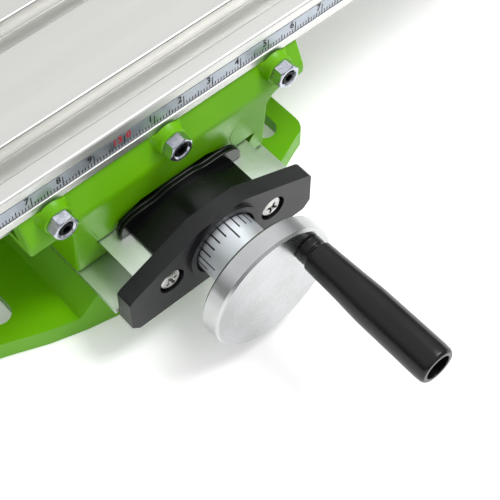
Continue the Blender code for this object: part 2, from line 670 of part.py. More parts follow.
def arch_outline(side):
    """What is cut away under one wing: square, with a round where the wing meets the leg."""
    inner = LEG_HALF_WIDTH
    outer = SADDLE_WIDTH / 2 + CUT
    top = SADDLE_TOP - WING_THICK
    points = [(inner, FOOT_Z - CUT), (outer, FOOT_Z - CUT), (outer, top)]
    for step in range(7):
        angle = math.pi / 2 + math.pi / 2 * step / 6
        points.append((inner + ARCH_RADIUS + ARCH_RADIUS * math.cos(angle),
                       top - ARCH_RADIUS + ARCH_RADIUS * math.sin(angle)))
    return [(RAIL_OFFSET + side * x, z) for x, z in points]


def cross_flank(z):
    """Where the cross dovetail's front wall stands at a height, along Y."""
    return SADDLE_FRONT + CROSS_LIP + (z - CROSS_FLOOR) * LEAN


def rail_flank(z):
    """Half the rail's width at a height of its dovetail."""
    return RAIL_TOP_WIDTH / 2 - (RAIL_TOP - z) * LEAN


def x_gib_screw_places():
    """Places across the saddle of the front gib's set screws, and their height."""
    z = SADDLE_TOP - X_GIB_SCREW_DROP
    return [(RAIL_OFFSET + k * X_GIB_SCREW_PITCH, z) for k in (-1, 0, 1)]


def y_gib_screw_places():
    """Places along the saddle of the side gib's set screws, and their height."""
    z = FOOT_Z + Y_GIB_SCREW_RISE
    return [(SADDLE_Y + k * Y_GIB_SCREW_PITCH, z) for k in (-1, 0, 1)]


def make_saddle():
    """The cast saddle: a dovetail mouth for the rail below, a cross dovetail for the table
    above, a tunnel for the screw, and bosses for the gib screws."""
    saddle = outline_solid(saddle_outline(), SADDLE_WIDTH, "X", RAIL_OFFSET)
    boss_face = SADDLE_FRONT - BOSS_PROUD
    for x, z in x_gib_screw_places():
        join(saddle, rod(BOSS_R, (x, boss_face, z), SADDLE_FRONT + WALL_LEAN_RUN + CUT, "Y", 32))
    under_table = SADDLE_Y - TABLE_WIDTH / 2 - LIP_PROUD - 2 * GAP
    cut(saddle, block((-BASE_WIDTH, under_table, SADDLE_TOP),
                      (BASE_WIDTH, SADDLE_Y, SADDLE_TOP + 2 * BOSS_R)))
    for side in (-1, 1):
        cut(saddle, outline_solid(arch_outline(side), SADDLE_DEPTH + 2 * CUT, "Y", SADDLE_Y))

    above = SADDLE_TOP + CUT
    rear = 2 * SADDLE_Y
    cross = [(cross_flank(CROSS_FLOOR), CROSS_FLOOR), (cross_flank(above), above),
             (rear - cross_flank(above), above), (rear - cross_flank(CROSS_FLOOR), CROSS_FLOOR)]
    cut(saddle, outline_solid(cross, SADDLE_WIDTH + 2 * CUT, "X", RAIL_OFFSET))

    low = FOOT_Z - CUT
    high = RAIL_TOP + 0.4 * MM
    left, right = SLIDE, 2 * SLIDE + GIB_THICK
    mouth = [(-rail_flank(low) - left, low), (rail_flank(low) + right, low),
             (rail_flank(high) + right, high), (-rail_flank(high) - left, high)]
    cut(saddle, outline_solid([(RAIL_OFFSET + x, z) for x, z in mouth],
                              SADDLE_DEPTH + 2 * CUT, "Y", SADDLE_Y))
    top = RAIL_TOP + TUNNEL_TOP
    tunnel = [(TUNNEL_HALF, low + 2 * CUT), (TUNNEL_HALF, top - TUNNEL_SHOULDER_DROP),
              (TUNNEL_HALF - TUNNEL_SHOULDER_RUN, top)]
    tunnel = tunnel + [(-x, z) for x, z in reversed(tunnel)]
    cut(saddle, outline_solid([(RAIL_OFFSET + x, z) for x, z in tunnel],
                              SADDLE_DEPTH + 2 * CUT, "Y", SADDLE_Y))

    for x, z in x_gib_screw_places():
        cut(saddle, rod(GIB_SCREW_R + GAP, (x, boss_face - CUT, z),
                        cross_flank(SADDLE_TOP) + CUT, "Y", 16))
    for y, z in y_gib_screw_places():
        cut(saddle, rod(GIB_SCREW_R + GAP, (RAIL_OFFSET + LEG_HALF_WIDTH + CUT, y, z),
                        RAIL_OFFSET + rail_flank(z), "X", 16))

    pocket = NUT_LENGTH / 2 + GAP
    pocket_z = CROSS_FLOOR - NUT_POCKET - GAP
    cut(saddle, block((RAIL_OFFSET - pocket, SADDLE_Y - NUT_HALF - GAP, pocket_z),
                      (RAIL_OFFSET + pocket, SADDLE_Y + NUT_HALF + GAP, CROSS_FLOOR + CUT)))
    cut(saddle, rod(NUT_SCREW_R + GAP, (RAIL_OFFSET, SADDLE_Y, RAIL_TOP), CROSS_FLOOR, "Z", 16))
    cut(saddle, rod(NUT_SCREW_HEAD_R + GAP, (RAIL_OFFSET, SADDLE_Y, RAIL_TOP),
                    top + NUT_SCREW_HEAD_THICK + 2 * GAP, "Z", 24))
    y = SADDLE_Y + Y_NUT_SET_BACK
    cut(saddle, rod(NUT_SCREW_R + GAP, (RAIL_OFFSET, y, RAIL_TOP), CROSS_FLOOR + CUT, "Z", 16))
    cut(saddle, rod(NUT_SCREW_HEAD_R + GAP,
                    (RAIL_OFFSET, y, CROSS_FLOOR - NUT_SCREW_HEAD_THICK - 2 * GAP),
                    CROSS_FLOOR + CUT, "Z", 24))
    return take(saddle, "saddle", "green_enamel")


def make_gibs():
    """The two gib strips, their set screws and the lock nuts outside."""
    low, high = CROSS_FLOOR + GAP, SADDLE_TOP - GAP
    x_gib = [(cross_flank(low) + SLIDE, low), (cross_flank(low) + SLIDE + GIB_THICK, low),
             (cross_flank(high) + SLIDE + GIB_THICK, high), (cross_flank(high) + SLIDE, high)]
    strip = outline_solid(x_gib, SADDLE_WIDTH - 2 * GIB_INSET, "X", RAIL_OFFSET)
    take(strip, "x_gib", "steel")
    low, high = FLANGE_TOP + GAP, RAIL_TOP
    y_gib = [(rail_flank(low) + SLIDE, low), (rail_flank(low) + SLIDE + GIB_THICK, low),
             (rail_flank(high) + SLIDE + GIB_THICK, high), (rail_flank(high) + SLIDE, high)]
    strip = outline_solid([(RAIL_OFFSET + x, z) for x, z in y_gib],
                          SADDLE_DEPTH - 2 * (GIB_INSET + LEG_SET_BACK), "Y", SADDLE_Y)
    take(strip, "y_gib", "steel")

    seat = SADDLE_FRONT - BOSS_PROUD - GAP
    for number, (x, z) in enumerate(x_gib_screw_places(), 1):
        tip = cross_flank(z - GIB_SCREW_R) + SLIDE - GAP
        make_set_screw("x_gib_screw_" + str(number), (x, tip, z),
                       seat - LOCK_NUT_THICK + GIB_SCREW_SUNK, "Y")
        make_lock_nut("x_gib_nut_" + str(number), (x, seat, z), seat - LOCK_NUT_THICK, "Y")
    seat = RAIL_OFFSET + LEG_HALF_WIDTH + GAP
    for number, (y, z) in enumerate(y_gib_screw_places(), 1):
        tip = RAIL_OFFSET + rail_flank(z + GIB_SCREW_R) + SLIDE + GIB_THICK + GAP
        make_set_screw("y_gib_screw_" + str(number), (tip, y, z),
                       seat + LOCK_NUT_THICK - GIB_SCREW_SUNK, "X")
        make_lock_nut("y_gib_nut_" + str(number), (seat, y, z), seat + LOCK_NUT_THICK, "X")


def make_set_screw(name, tip, end, axis):
    """A socket set screw from its tip to its outer end."""
    index = "XYZ".index(axis)
    outward = 1 if end > tip[index] else -1
    screw = rod(GIB_SCREW_R, tip, end, axis, 20)
    socket_start = list(tip)
    socket_start[index] = end - outward * GIB_SOCKET_DEPTH
    cut(screw, rod(hexagon_radius(GIB_SOCKET_AF), socket_start, end + outward * CUT, axis, 6))
    take(smooth(screw), name, "black_oxide")


def make_lock_nut(name, seat, end, axis):
    """A hexagon lock nut with a plain bore, its corners up and down."""
    nut = rod(hexagon_radius(LOCK_NUT_AF), seat, end, axis, 6, math.pi / 6)
    index = "XYZ".index(axis)
    outward = 1 if end > seat[index] else -1
    start = list(seat)
    start[index] -= outward * CUT
    cut(nut, rod(GIB_SCREW_R + GAP, start, end + outward * CUT, axis, 20))
    take(nut, name, "steel")


def cover_inside():
    """The underside of the cover's arch, left to right."""
    low = RAIL_TOP + GAP
    return [(-COVER_HALF + COVER_WALL, low),
            (-COVER_CROWN_HALF + 0.4 * MM, RAIL_TOP + COVER_RISE - COVER_WALL),
            (COVER_CROWN_HALF - 0.4 * MM, RAIL_TOP + COVER_RISE - COVER_WALL),
            (COVER_HALF - COVER_WALL, low)]


def make_screw_cover():
    """The moulded cover over the screw: a low arch with a wavy rim, its tail pushed into the
    saddle's tunnel."""
    low = RAIL_TOP + GAP
    arch = [(COVER_HALF, low), (COVER_HALF, RAIL_TOP + COVER_EDGE),
            (COVER_CROWN_HALF, RAIL_TOP + COVER_RISE), (-COVER_CROWN_HALF, RAIL_TOP + COVER_RISE),
            (-COVER_HALF, RAIL_TOP + COVER_EDGE), (-COVER_HALF, low)]
    front = SADDLE_FRONT - COVER_REACH
    back = SADDLE_FRONT + COVER_SPIGOT
    cover = outline_solid([(RAIL_OFFSET + x, z) for x, z in arch + cover_inside()],
                          back - front, "Y", (front + back) / 2)
    crest = COVER_RISE + RIM_RISE
    half = [(RIM_HALF, low), (RIM_HALF, RAIL_TOP + 0.42 * crest),
            (RIM_HALF - 2.6 * MM, RAIL_TOP + 0.68 * crest),
            (RIM_HALF - 6.6 * MM, RAIL_TOP + 0.85 * crest),
            (COVER_CROWN_HALF + 2.2 * MM, RAIL_TOP + 0.87 * crest),
            (COVER_CROWN_HALF - 2.4 * MM, RAIL_TOP + crest)]
    rim = half + [(-x, z) for x, z in reversed(half)] + cover_inside()
    face = SADDLE_FRONT - GAP
    join(cover, outline_solid([(RAIL_OFFSET + x, z) for x, z in rim], RIM_THICK, "Y",
                              face - RIM_THICK / 2))
    return take(cover, "screw_cover", "black_plastic")


# ---- table ---------------------------------------------------------------------------------
def table_outline():
    """The table's section: T-slots above, a dovetail with a channel for the screw below."""
    half = TABLE_WIDTH / 2
    tape_low = TABLE_Z + LIP_HEIGHT
    tape_high = tape_low + TAPE_HEIGHT + 2 * GAP
    side = [(half + LIP_PROUD, TABLE_Z), (half + LIP_PROUD, tape_low),
            (half - TAPE_RECESS, tape_low), (half - TAPE_RECESS, tape_high),
            (half, tape_high), (half, TABLE_TOP - TABLE_BEVEL), (half - TABLE_BEVEL, TABLE_TOP)]
    top = []
    for slot in (1, 0, -1):
        middle = slot * TSLOT_PITCH
        opening, undercut = TSLOT_OPENING / 2, TSLOT_UNDERCUT / 2
        lip, floor = TABLE_TOP - TSLOT_LIP, TABLE_TOP - TSLOT_DEPTH
        flare, shoulder = opening + TSLOT_CHAMFER, TABLE_TOP - TSLOT_CHAMFER
        top += [(middle + flare, TABLE_TOP), (middle + opening, shoulder),
                (middle + opening, lip), (middle + undercut, lip), (middle + undercut, floor),
                (middle - undercut, floor), (middle - undercut, lip), (middle - opening, lip),
                (middle - opening, shoulder), (middle - flare, TABLE_TOP)]
    front_low = cross_flank(DOVETAIL_Z) + 2 * SLIDE + GIB_THICK - SADDLE_Y
    front_high = cross_flank(TABLE_Z) + 2 * SLIDE + GIB_THICK - SADDLE_Y
    back_low = SADDLE_Y - cross_flank(DOVETAIL_Z) - SLIDE
    back_high = SADDLE_Y - cross_flank(TABLE_Z) - SLIDE
    under = [(front_high, TABLE_Z), (front_low, DOVETAIL_Z)]
    for start, end, height in ((-HOLLOW_OUTER, -HOLLOW_INNER, HOLLOW_HEIGHT),
                               (-CHANNEL_WIDTH / 2, CHANNEL_WIDTH / 2, CHANNEL_HEIGHT),
                               (HOLLOW_INNER, HOLLOW_OUTER, HOLLOW_HEIGHT)):
        under += [(start, DOVETAIL_Z), (start, DOVETAIL_Z + height),
                  (end, DOVETAIL_Z + height), (end, DOVETAIL_Z)]
    under += [(back_low, DOVETAIL_Z), (back_high, TABLE_Z)]
    points = side + top + [(-y, z) for y, z in reversed(side)] + under
    return [(SADDLE_Y + y, z) for y, z in points]


def make_table():
    """The extruded table, its ends bored for the end plates' screws, and its scale tape."""
    table = outline_solid(table_outline(), TABLE_LENGTH, "X", TABLE_X)
    for side in (-1, 1):
        for y, z in x_plate_screw_places():
            cut(table, rod(SCREW_R + GAP, (TABLE_X + side * (TABLE_END + CUT), y, z),
                           TABLE_X + side * (TABLE_END - SCREW_LENGTH), "X", 16))
    take(table, "table", "aluminium")
    floor = SADDLE_Y - TABLE_WIDTH / 2 + TAPE_RECESS - GAP
    low = TABLE_Z + LIP_HEIGHT + GAP
    tape = block((TABLE_X - TABLE_END + GAP, floor - TAPE_THICK, low),
                 (TABLE_X + TABLE_END - GAP, floor, low + TAPE_HEIGHT))
    take(tape, "scale_tape", "tape")


# ---- screws, nuts, dials and handwheels ----------------------------------------------------
def make_drive(prefix, axis, out, middle, half, centre, handle_side):
    """One leadscrew with its end nut, dial, handwheel and handle.

    The axis letter is that of the screw, and out is the way its handwheel points.  The rail
    or table it lies in reaches half to each side of the middle; centre holds the place
    across the screw and its height.
    """
    index = "XYZ".index(axis)
    outward = axis if out > 0 else "-" + axis
    plate_face = middle + out * (half + GAP + PLATE_THICK)
    far_face = middle - out * (half + GAP + PLATE_THICK)
    other = "X" if axis == "Y" else "Y"

    def at(distance, aside=0.0, up=0.0):
        place = [0.0, 0.0, centre[1] + up]
        place[index] = distance
        place["XYZ".index(other)] = centre[0] + aside
        return tuple(place)

    dial_start = plate_face + out * DIAL_GAP
    wheel_back = dial_start + out * (DIAL_LENGTH + GAP)
    hub_start = wheel_back - out * HUB_LENGTH
    wheel_face = wheel_back + out * WHEEL_THICK
    journal_end = wheel_face - out * (WHEEL_FACE_WALL + GAP)
    far_end = far_face - out * (END_NUT_THICK + SCREW_END_PROUD)

    length = abs(journal_end - far_end)
    near = abs(middle - far_end) - half
    far = near + 2 * half
    chamfer = SCREW_END_CHAMFER
    screw = turned([(0, 0), (JOURNAL_R - chamfer, 0), (JOURNAL_R, chamfer), (JOURNAL_R, near),
                    (LEADSCREW_R, near), (LEADSCREW_R, far), (JOURNAL_R, far),
                    (JOURNAL_R, length), (0, length)], at(far_end), outward, 24)
    pin_at = hub_start + out * DRIVE_PIN_INSET
    reach = HUB_R - DRIVE_PIN_SHORT
    cut(screw, rod(DRIVE_PIN_R + GAP, at(pin_at, 0, -HUB_R), centre[1] + HUB_R, "Z", 12))
    take(smooth(screw), prefix + "_leadscrew", "steel")
    take(rod(DRIVE_PIN_R, at(pin_at, 0, -reach), centre[1] + reach, "Z", 12),
         prefix + "_drive_pin", "steel")

    nut_start = far_face - out * (END_NUT_CLEAR + GAP)
    nut = rod(hexagon_radius(END_NUT_AF), at(nut_start), nut_start - out * END_NUT_THICK, axis, 6,
              math.pi / 6)
    cut(nut, rod(JOURNAL_R + GAP, at(nut_start + out * CUT),
                 nut_start - out * (END_NUT_THICK + CUT), axis, 20))
    take(nut, prefix + "_end_nut", "steel")

    dial = turned([(HUB_R + GAP, 0), (DIAL_R - DIAL_CHAMFER, 0), (DIAL_R, DIAL_CHAMFER),
                   (DIAL_R, DIAL_LENGTH), (HUB_R + GAP, DIAL_LENGTH)],
                  at(dial_start), outward, 50, ring=True)
    take(smooth(dial), prefix + "_dial", "turned_steel")

    rim, edge = WHEEL_R, WHEEL_CHAMFER
    face = HUB_LENGTH + WHEEL_THICK
    blind = face - WHEEL_FACE_WALL
    bore = JOURNAL_R + GAP
    wheel = turned([(0, blind), (bore, blind), (bore, 0), (HUB_R, 0), (HUB_R, HUB_LENGTH),
                    (rim - edge, HUB_LENGTH), (rim, HUB_LENGTH + edge), (rim, face - edge),
                    (rim - edge, face), (0, face)], at(hub_start), outward, 56)
    aside = handle_side * HANDLE_PITCH_R * math.sin(HANDLE_ANGLE)
    up = HANDLE_PITCH_R * math.cos(HANDLE_ANGLE)
    pin_seat = wheel_face - out * HANDLE_PIN_SEAT
    cut(wheel, rod(HANDLE_PIN_R + GAP, at(pin_seat, aside, up), wheel_face + out * CUT, axis, 16))
    cut(wheel, rod(DRIVE_PIN_R + GAP, at(pin_at, 0, -HUB_R - CUT), centre[1] + HUB_R + CUT, "Z",
                   12))
    take(smooth(wheel), prefix + "_handwheel", "turned_steel")

    seat = HANDLE_LENGTH - HANDLE_MOUTH_DEPTH
    grip = turned([(HANDLE_BORE_R, 0), (HANDLE_NECK_R + HANDLE_COLLAR, 0),
                   (HANDLE_NECK_R + HANDLE_COLLAR, 2.4 * MM), (HANDLE_NECK_R, 2.8 * MM),
                   (HANDLE_NECK_R, 3.2 * MM), (HANDLE_ROOT_R, 3.7 * MM),
                   (HANDLE_THIRD_R, HANDLE_LENGTH / 3), (HANDLE_BELLY_R, HANDLE_LENGTH / 2),
                   (HANDLE_END_R, HANDLE_LENGTH - 3 * MM),
                   (HANDLE_END_R - 0.15 * MM, HANDLE_LENGTH - 0.8 * MM),
                   (HANDLE_END_R - 0.7 * MM, HANDLE_LENGTH),
                   (HANDLE_MOUTH_R, HANDLE_LENGTH), (HANDLE_MOUTH_R, seat),
                   (HANDLE_BORE_R, seat)],
                  at(wheel_face + out * GAP, aside, up), outward, 28, ring=True)
    take(smooth(grip), prefix + "_handle", "black_plastic")

    shank = HANDLE_PIN_SEAT + seat + GAP
    tip = shank + HANDLE_PIN_HEAD_THICK
    pin = turned([(0, 0), (HANDLE_PIN_R, 0), (HANDLE_PIN_R, shank), (HANDLE_PIN_HEAD_R, shank),
                  (HANDLE_PIN_HEAD_R, tip - 0.5 * MM), (HANDLE_PIN_HEAD_R - 0.5 * MM, tip),
                  (0, tip)], at(pin_seat + out * GAP, aside, up), outward, 20)
    take(smooth(pin), prefix + "_handle_pin", "steel")


def make_nuts():
    """The two leadscrew nuts on the saddle, each with its own cap screw."""
    y = SADDLE_Y + Y_NUT_SET_BACK
    top = RAIL_TOP + TUNNEL_TOP - GAP
    nut = block((RAIL_OFFSET - NUT_HALF, y - NUT_LENGTH / 2, TROUGH_Z + 0.4 * MM),
                (RAIL_OFFSET + NUT_HALF, y + NUT_LENGTH / 2, top))
    cut(nut, rod(LEADSCREW_R + GAP, (RAIL_OFFSET, y - NUT_LENGTH, Y_AXIS_Z), y + NUT_LENGTH, "Y",
                 24))
    cut(nut, rod(NUT_SCREW_R + GAP, (RAIL_OFFSET, y, top - NUT_SCREW_GRIP - GAP), top + CUT, "Z",
                 16))
    take(nut, "y_nut", "bronze")
    make_cap_screw("y_nut_screw", (RAIL_OFFSET, y, top - NUT_SCREW_GRIP),
                   CROSS_FLOOR - GAP, "Z")

    low = CROSS_FLOOR - NUT_POCKET
    high = DOVETAIL_Z + CHANNEL_HEIGHT - 0.4 * MM
    nut = block((RAIL_OFFSET - NUT_LENGTH / 2, SADDLE_Y - NUT_HALF, low),
                (RAIL_OFFSET + NUT_LENGTH / 2, SADDLE_Y + NUT_HALF, high))
    cut(nut, rod(LEADSCREW_R + GAP, (RAIL_OFFSET - NUT_LENGTH, SADDLE_Y, X_AXIS_Z),
                 RAIL_OFFSET + NUT_LENGTH, "X", 24))
    cut(nut, rod(NUT_SCREW_R + GAP, (RAIL_OFFSET, SADDLE_Y, low - CUT),
                 low + NUT_SCREW_GRIP + GAP, "Z", 16))
    take(nut, "x_nut", "bronze")
    make_cap_screw("x_nut_screw", (RAIL_OFFSET, SADDLE_Y, low + NUT_SCREW_GRIP),
                   RAIL_TOP + TUNNEL_TOP + GAP, "-Z")


def make_cap_screw(name, tip, head_top, outward):
    """A cap screw from the tip of its shank to the outside of its head."""
    length = abs(head_top - tip[2])
    neck = length - NUT_SCREW_HEAD_THICK
    screw = turned([(0, 0), (NUT_SCREW_R, 0), (NUT_SCREW_R, neck), (NUT_SCREW_HEAD_R, neck),
                    (NUT_SCREW_HEAD_R, length), (0, length)], tip, outward, 20)
    take(smooth(screw), name, "steel")


def main():
    clear_scene()
    make_base()
    make_rail()
    make_rail_bolts()
    make_y_end_plate("front_end_plate", -1)
    make_y_end_plate("rear_end_plate", 1)
    make_saddle()
    make_gibs()
    make_screw_cover()
    make_table()
    make_x_end_plate("left_end_plate", -1)
    make_x_end_plate("right_end_plate", 1)
    make_nuts()
    make_drive("y", "Y", -1, 0.0, RAIL_END, (RAIL_OFFSET, Y_AXIS_Z), 1)
    make_drive("x", "X", 1, TABLE_X, TABLE_END, (SADDLE_Y, X_AXIS_Z), 1)


PARTS = new_collection("cross_slide_table")
CUTTERS = new_collection("cutters")
main()
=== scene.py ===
"""Looks of the compound cross-slide table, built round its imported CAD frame.

Everything is in metres in the frame's own axes: +X along the table to its handwheel, -Y
towards the saddle's handwheel, +Z up.
"""
import math

import bpy
from mathutils import Matrix, Vector


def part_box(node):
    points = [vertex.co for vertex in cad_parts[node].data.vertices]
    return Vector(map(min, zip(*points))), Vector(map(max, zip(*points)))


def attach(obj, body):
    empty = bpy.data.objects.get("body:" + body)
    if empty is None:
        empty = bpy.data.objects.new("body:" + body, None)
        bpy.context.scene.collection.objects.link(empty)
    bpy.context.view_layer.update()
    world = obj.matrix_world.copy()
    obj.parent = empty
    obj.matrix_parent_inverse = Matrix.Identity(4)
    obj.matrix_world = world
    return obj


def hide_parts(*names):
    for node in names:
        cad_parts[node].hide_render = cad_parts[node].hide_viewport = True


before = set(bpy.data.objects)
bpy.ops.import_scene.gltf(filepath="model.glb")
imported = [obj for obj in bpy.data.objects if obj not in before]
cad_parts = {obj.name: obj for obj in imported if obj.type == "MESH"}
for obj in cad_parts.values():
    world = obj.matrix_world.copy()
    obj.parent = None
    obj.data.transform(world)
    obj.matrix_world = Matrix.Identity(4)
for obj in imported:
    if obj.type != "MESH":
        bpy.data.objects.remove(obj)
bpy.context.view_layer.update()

MM = 0.001

# ---- camera --------------------------------------------------------------------------------
AZIMUTH = math.radians(-41.38)
ELEVATION = math.radians(56.41)
DISTANCE = 386.1 * MM
LENS = 101.5
AIM_PAST_DIAL = Vector((3.3, 0.12, 0.0)) * MM

# ---- floor and light -----------------------------------------------------------------------
FLOOR_SIZE = 6.0
FLOOR_DROP = 0.2 * MM
FLOOR_GLOW = 0.2
SKY_STRENGTH = 0.92
KEY_PLACE = (0.55, -0.3, 1.0)
KEY_SIZE = 0.5
KEY_POWER = 9

# ---- sizes that only the looks need --------------------------------------------------------
GAP = 0.3 * MM
DIAL_DIVISIONS = 25
DIAL_LONG_EVERY = 5
DIAL_LONG_MARK = 6.9 * MM
DIAL_SHORT_MARK = 4.1 * MM
DIAL_MARK_WIDTH = 0.5 * MM
DIAL_MARK_START = 0.35 * MM
DIAL_MARK_DEPTH = 0.25 * MM
DIAL_FIRST = math.radians(-2.0)   # of a long mark, from straight up
TAPE_ZERO = -6.8 * MM      # where the tape's red figure stands
TAPE_FIGURE = 130
TAPE_TICK_WIDTH = 0.3 * MM
TICK_SHORT = 1.4 * MM
TICK_FIFTH = 2.1 * MM
TICK_TENTH = 3.8 * MM
FIGURE_HEIGHT = 2.4 * MM
FIGURE_RISE = 2.2 * MM     # of a figure's foot above the tape's lower edge
INK = 0.02 * MM            # how far printed ink stands off its strip
FIGURE_BEFORE = 1.3 * MM   # of a single figure's middle before its centimetre
TENS_PLACES = (-3.1 * MM, -1.4 * MM, 1.4 * MM)   # of a red number's figures about its tick
CAPITAL = 0.7              # a figure's height as a share of its type size
BOSS_R = 4.4 * MM
BOSS_FLARE = 3.2 * MM
BOSS_FLARE_DEPTH = 4.4 * MM
BOSS_BORE_R = 2.3 * MM
SADDLE_SETBACK = 0.5 * MM  # of the saddle's wall behind its bosses
WALL_FOOT_BACK = 1.9 * MM  # how far the saddle's wall leans in at its foot
WALL_LOW_DROP = 10.3 * MM  # of the wall's upright band below the saddle's top
WALL_HIGH_DROP = 8.1 * MM
WALL_TOP_BACK = 3.8 * MM
LEG_HALF = 34.4 * MM       # from the rail's middle to a leg's outer side
ARCH_R = 5.0 * MM
ARCH_DROP = 11.7 * MM      # of the arch's ceiling below the saddle's top
ARCH_STEPS = 12
DOVETAIL_LEAN = math.tan(math.radians(30))
TABLE_WAY_DEPTH = 8.8 * MM
TABLE_WAY_LIP = 4.8 * MM
RAIL_FLANK = 7.2 * MM      # of the rail's flange past its dovetail's top
RAIL_TOP_CLEAR = 0.4 * MM
PLAIN_SIDE_LOW = 0.35 * MM  # the saddle's clearance beside the rail, at its foot and its top
PLAIN_SIDE_HIGH = 0.6 * MM
GIB_SIDE_LOW = 3.3 * MM     # the same on the side that also holds the gib
GIB_SIDE_HIGH = 3.5 * MM
COVER_EDGE = 0.35 * MM
BEAD_EDGE = 0.28 * MM
COVER_BEADS = ((2.3, 1.3, 0.0), (1.5, 0.8, 0.45), (0.95, 0.0, 0.0))
FACET_CREASE = 43.2 * MM
FACET_LEAN = 0.9 * MM
NUT_TURNS = [math.radians(angle) for angle in (12.0, 28.0, 24.0)]
NUT_HALF_FLATS = 3.5 * MM
NUT_SEAT = 0.25 * MM       # how far a nut goes into its boss
NUT_BORE_R = 2.25 * MM
NUT_SINK_R = 2.75 * MM
RECESS_HALF_WIDTH = 0.42 * MM
RECESS_REACH = 1.95 * MM
RECESS_DEPTH = 1.5 * MM
LEFT_CROSS_TURN = 0.5      # of the left pan screws' crosses, in radians
OTHER_CROSS_TURN = 1.1
FINE_EDGE = 0.25 * MM      # broken edge of machined and extruded pieces
SMALL_EDGE = 0.15 * MM     # of nuts, bushes, pins and screws
MOULDED_EDGE = 0.7 * MM
CAST_EDGE = 0.9 * MM


# ---- small tools ---------------------------------------------------------------------------
def linear(code):
    """An sRGB hex colour as linear red, green, blue and alpha."""
    parts = [int(code[i:i + 2], 16) / 255 for i in (1, 3, 5)]
    return [p / 12.92 if p <= 0.04045 else ((p + 0.055) / 1.055) ** 2.4 for p in parts] + [1.0]


def middle(node):
    """The middle of a CAD node's box."""
    low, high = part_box(node)
    return (low + high) / 2


def deselect():
    """Leave nothing selected, so that an operator acts on the new piece alone."""
    if bpy.context.object and bpy.context.object.mode != "OBJECT":
        bpy.ops.object.mode_set(mode="OBJECT")
    bpy.ops.object.select_all(action="DESELECT")


def work_on(piece):
    """Make one piece the active and only selected one."""
    deselect()
    bpy.context.view_layer.objects.active = piece
    piece.select_set(True)


def open_whole(piece):
    """Open a whole piece for editing."""
    work_on(piece)
    bpy.ops.object.mode_set(mode="EDIT")
    bpy.ops.mesh.select_all(action="SELECT")


def close_edit():
    """Leave edit mode."""
    bpy.ops.object.mode_set(mode="OBJECT")


def settle(piece):
    """Put a piece's place, turn and size into its mesh."""
    work_on(piece)
    bpy.ops.object.transform_apply(location=True, rotation=True, scale=True)
    return piece


def apply(piece, kind, **settings):
    """Add a modifier with its settings and apply it."""
    work_on(piece)
    modifier = piece.modifiers.new(kind.lower(), kind)
    for key, value in settings.items():
        setattr(modifier, key, value)
    bpy.ops.object.modifier_apply(modifier=modifier.name)
    return piece


def clean(piece, distance=0.002 * MM):
    """Merge a piece's doubled points and turn its faces outwards."""
    open_whole(piece)
    bpy.ops.mesh.remove_doubles(threshold=distance)
    bpy.ops.mesh.normals_make_consistent(inside=False)
    close_edit()
    return piece


def box(low, high):
    """A box between two corners."""
    deselect()
    low, high = Vector(low), Vector(high)
    bpy.ops.mesh.primitive_cube_add(size=1, location=(low + high) / 2)
    piece = bpy.context.object
    piece.scale = high - low
    return settle(piece)


def prism(points, axis, low, high):
    """An outline drawn out along an axis: (y, z) points for X, (x, z) for Y, (x, y) for Z."""
    deselect()
    bpy.ops.mesh.primitive_circle_add(vertices=len(points), radius=1, fill_type="NGON")
    piece = bpy.context.object
    index = "XYZ".index(axis)
    for vertex, (u, v) in zip(piece.data.vertices, points):
        place = [u, v]
        place.insert(index, low)
        vertex.co = place
    step = [0.0, 0.0, 0.0]
    step[index] = high - low
    open_whole(piece)
    bpy.ops.mesh.extrude_region_move(TRANSFORM_OT_translate={"value": step})
    close_edit()
    return clean(piece)


def turned(profile, place, outward, steps=96):
    """A turned piece: (radius, distance) points spun about an axis that leaves a place."""
    outward = Vector(outward)
    across = outward.orthogonal().normalized()
    place = Vector(place)
    points = [place + across * r + outward * d for r, d in profile]
    edges = [(i, i + 1) for i in range(len(points) - 1)]
    mesh = bpy.data.meshes.new("turned")
    mesh.from_pydata(points, edges, [])
    piece = bpy.data.objects.new("turned", mesh)
    bpy.context.scene.collection.objects.link(piece)
    open_whole(piece)
    bpy.ops.mesh.spin(steps=steps, angle=2 * math.pi, center=place, axis=outward)
    close_edit()
    return clean(piece)


def rod(radius, start, outward, length, sides=48):
    """A plain cylinder from a point along a direction, to cut or join with."""
    return turned([(0, 0), (radius, 0), (radius, length), (0, length)], start, outward, sides)


def combine(piece, tool, operation):
    """Cut a tool out of a piece, join it on or keep what both share; the tool goes."""
    apply(piece, "BOOLEAN", operation=operation, solver="EXACT", object=tool)
    bpy.data.objects.remove(tool, do_unlink=True)
    return piece


def cut(piece, *tools):
    """Take each tool's shape out of a piece."""
    for tool in tools:
        combine(piece, tool, "DIFFERENCE")
    return piece


def gather(name, pieces):
    """Several loose pieces as one object."""
    deselect()
    for piece in pieces:
        piece.select_set(True)
    bpy.context.view_layer.objects.active = pieces[0]
    bpy.ops.object.join()
    pieces[0].name = name
    return pieces[0]


def soften(piece, width, segments=3, angle=25.0):
    """Round the corners of a piece and shade it smooth, its flat faces staying flat."""
    apply(piece, "BEVEL", width=width, segments=segments, limit_method="ANGLE",
          angle_limit=math.radians(angle), use_clamp_overlap=True, miter_outer="MITER_ARC")
    return shade(piece)


def shade(piece, angle=35.0):
    """Shade smooth up to an angle, weighted to the larger faces."""
    work_on(piece)
    bpy.ops.object.shade_smooth_by_angle(angle=math.radians(angle))
    return apply(piece, "WEIGHTED_NORMAL", keep_sharp=True, weight=50)


def solid_copy(node):
    """A copy of a CAD node with its triangles merged into whole faces."""
    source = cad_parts[node]
    piece = source.copy()
    piece.data = source.data.copy()
    piece.parent = None
    bpy.context.scene.collection.objects.link(piece)
    open_whole(piece)
    bpy.ops.mesh.remove_doubles(threshold=0.001 * MM)
    bpy.ops.mesh.dissolve_limited(angle_limit=math.radians(0.6))
    close_edit()
    return piece


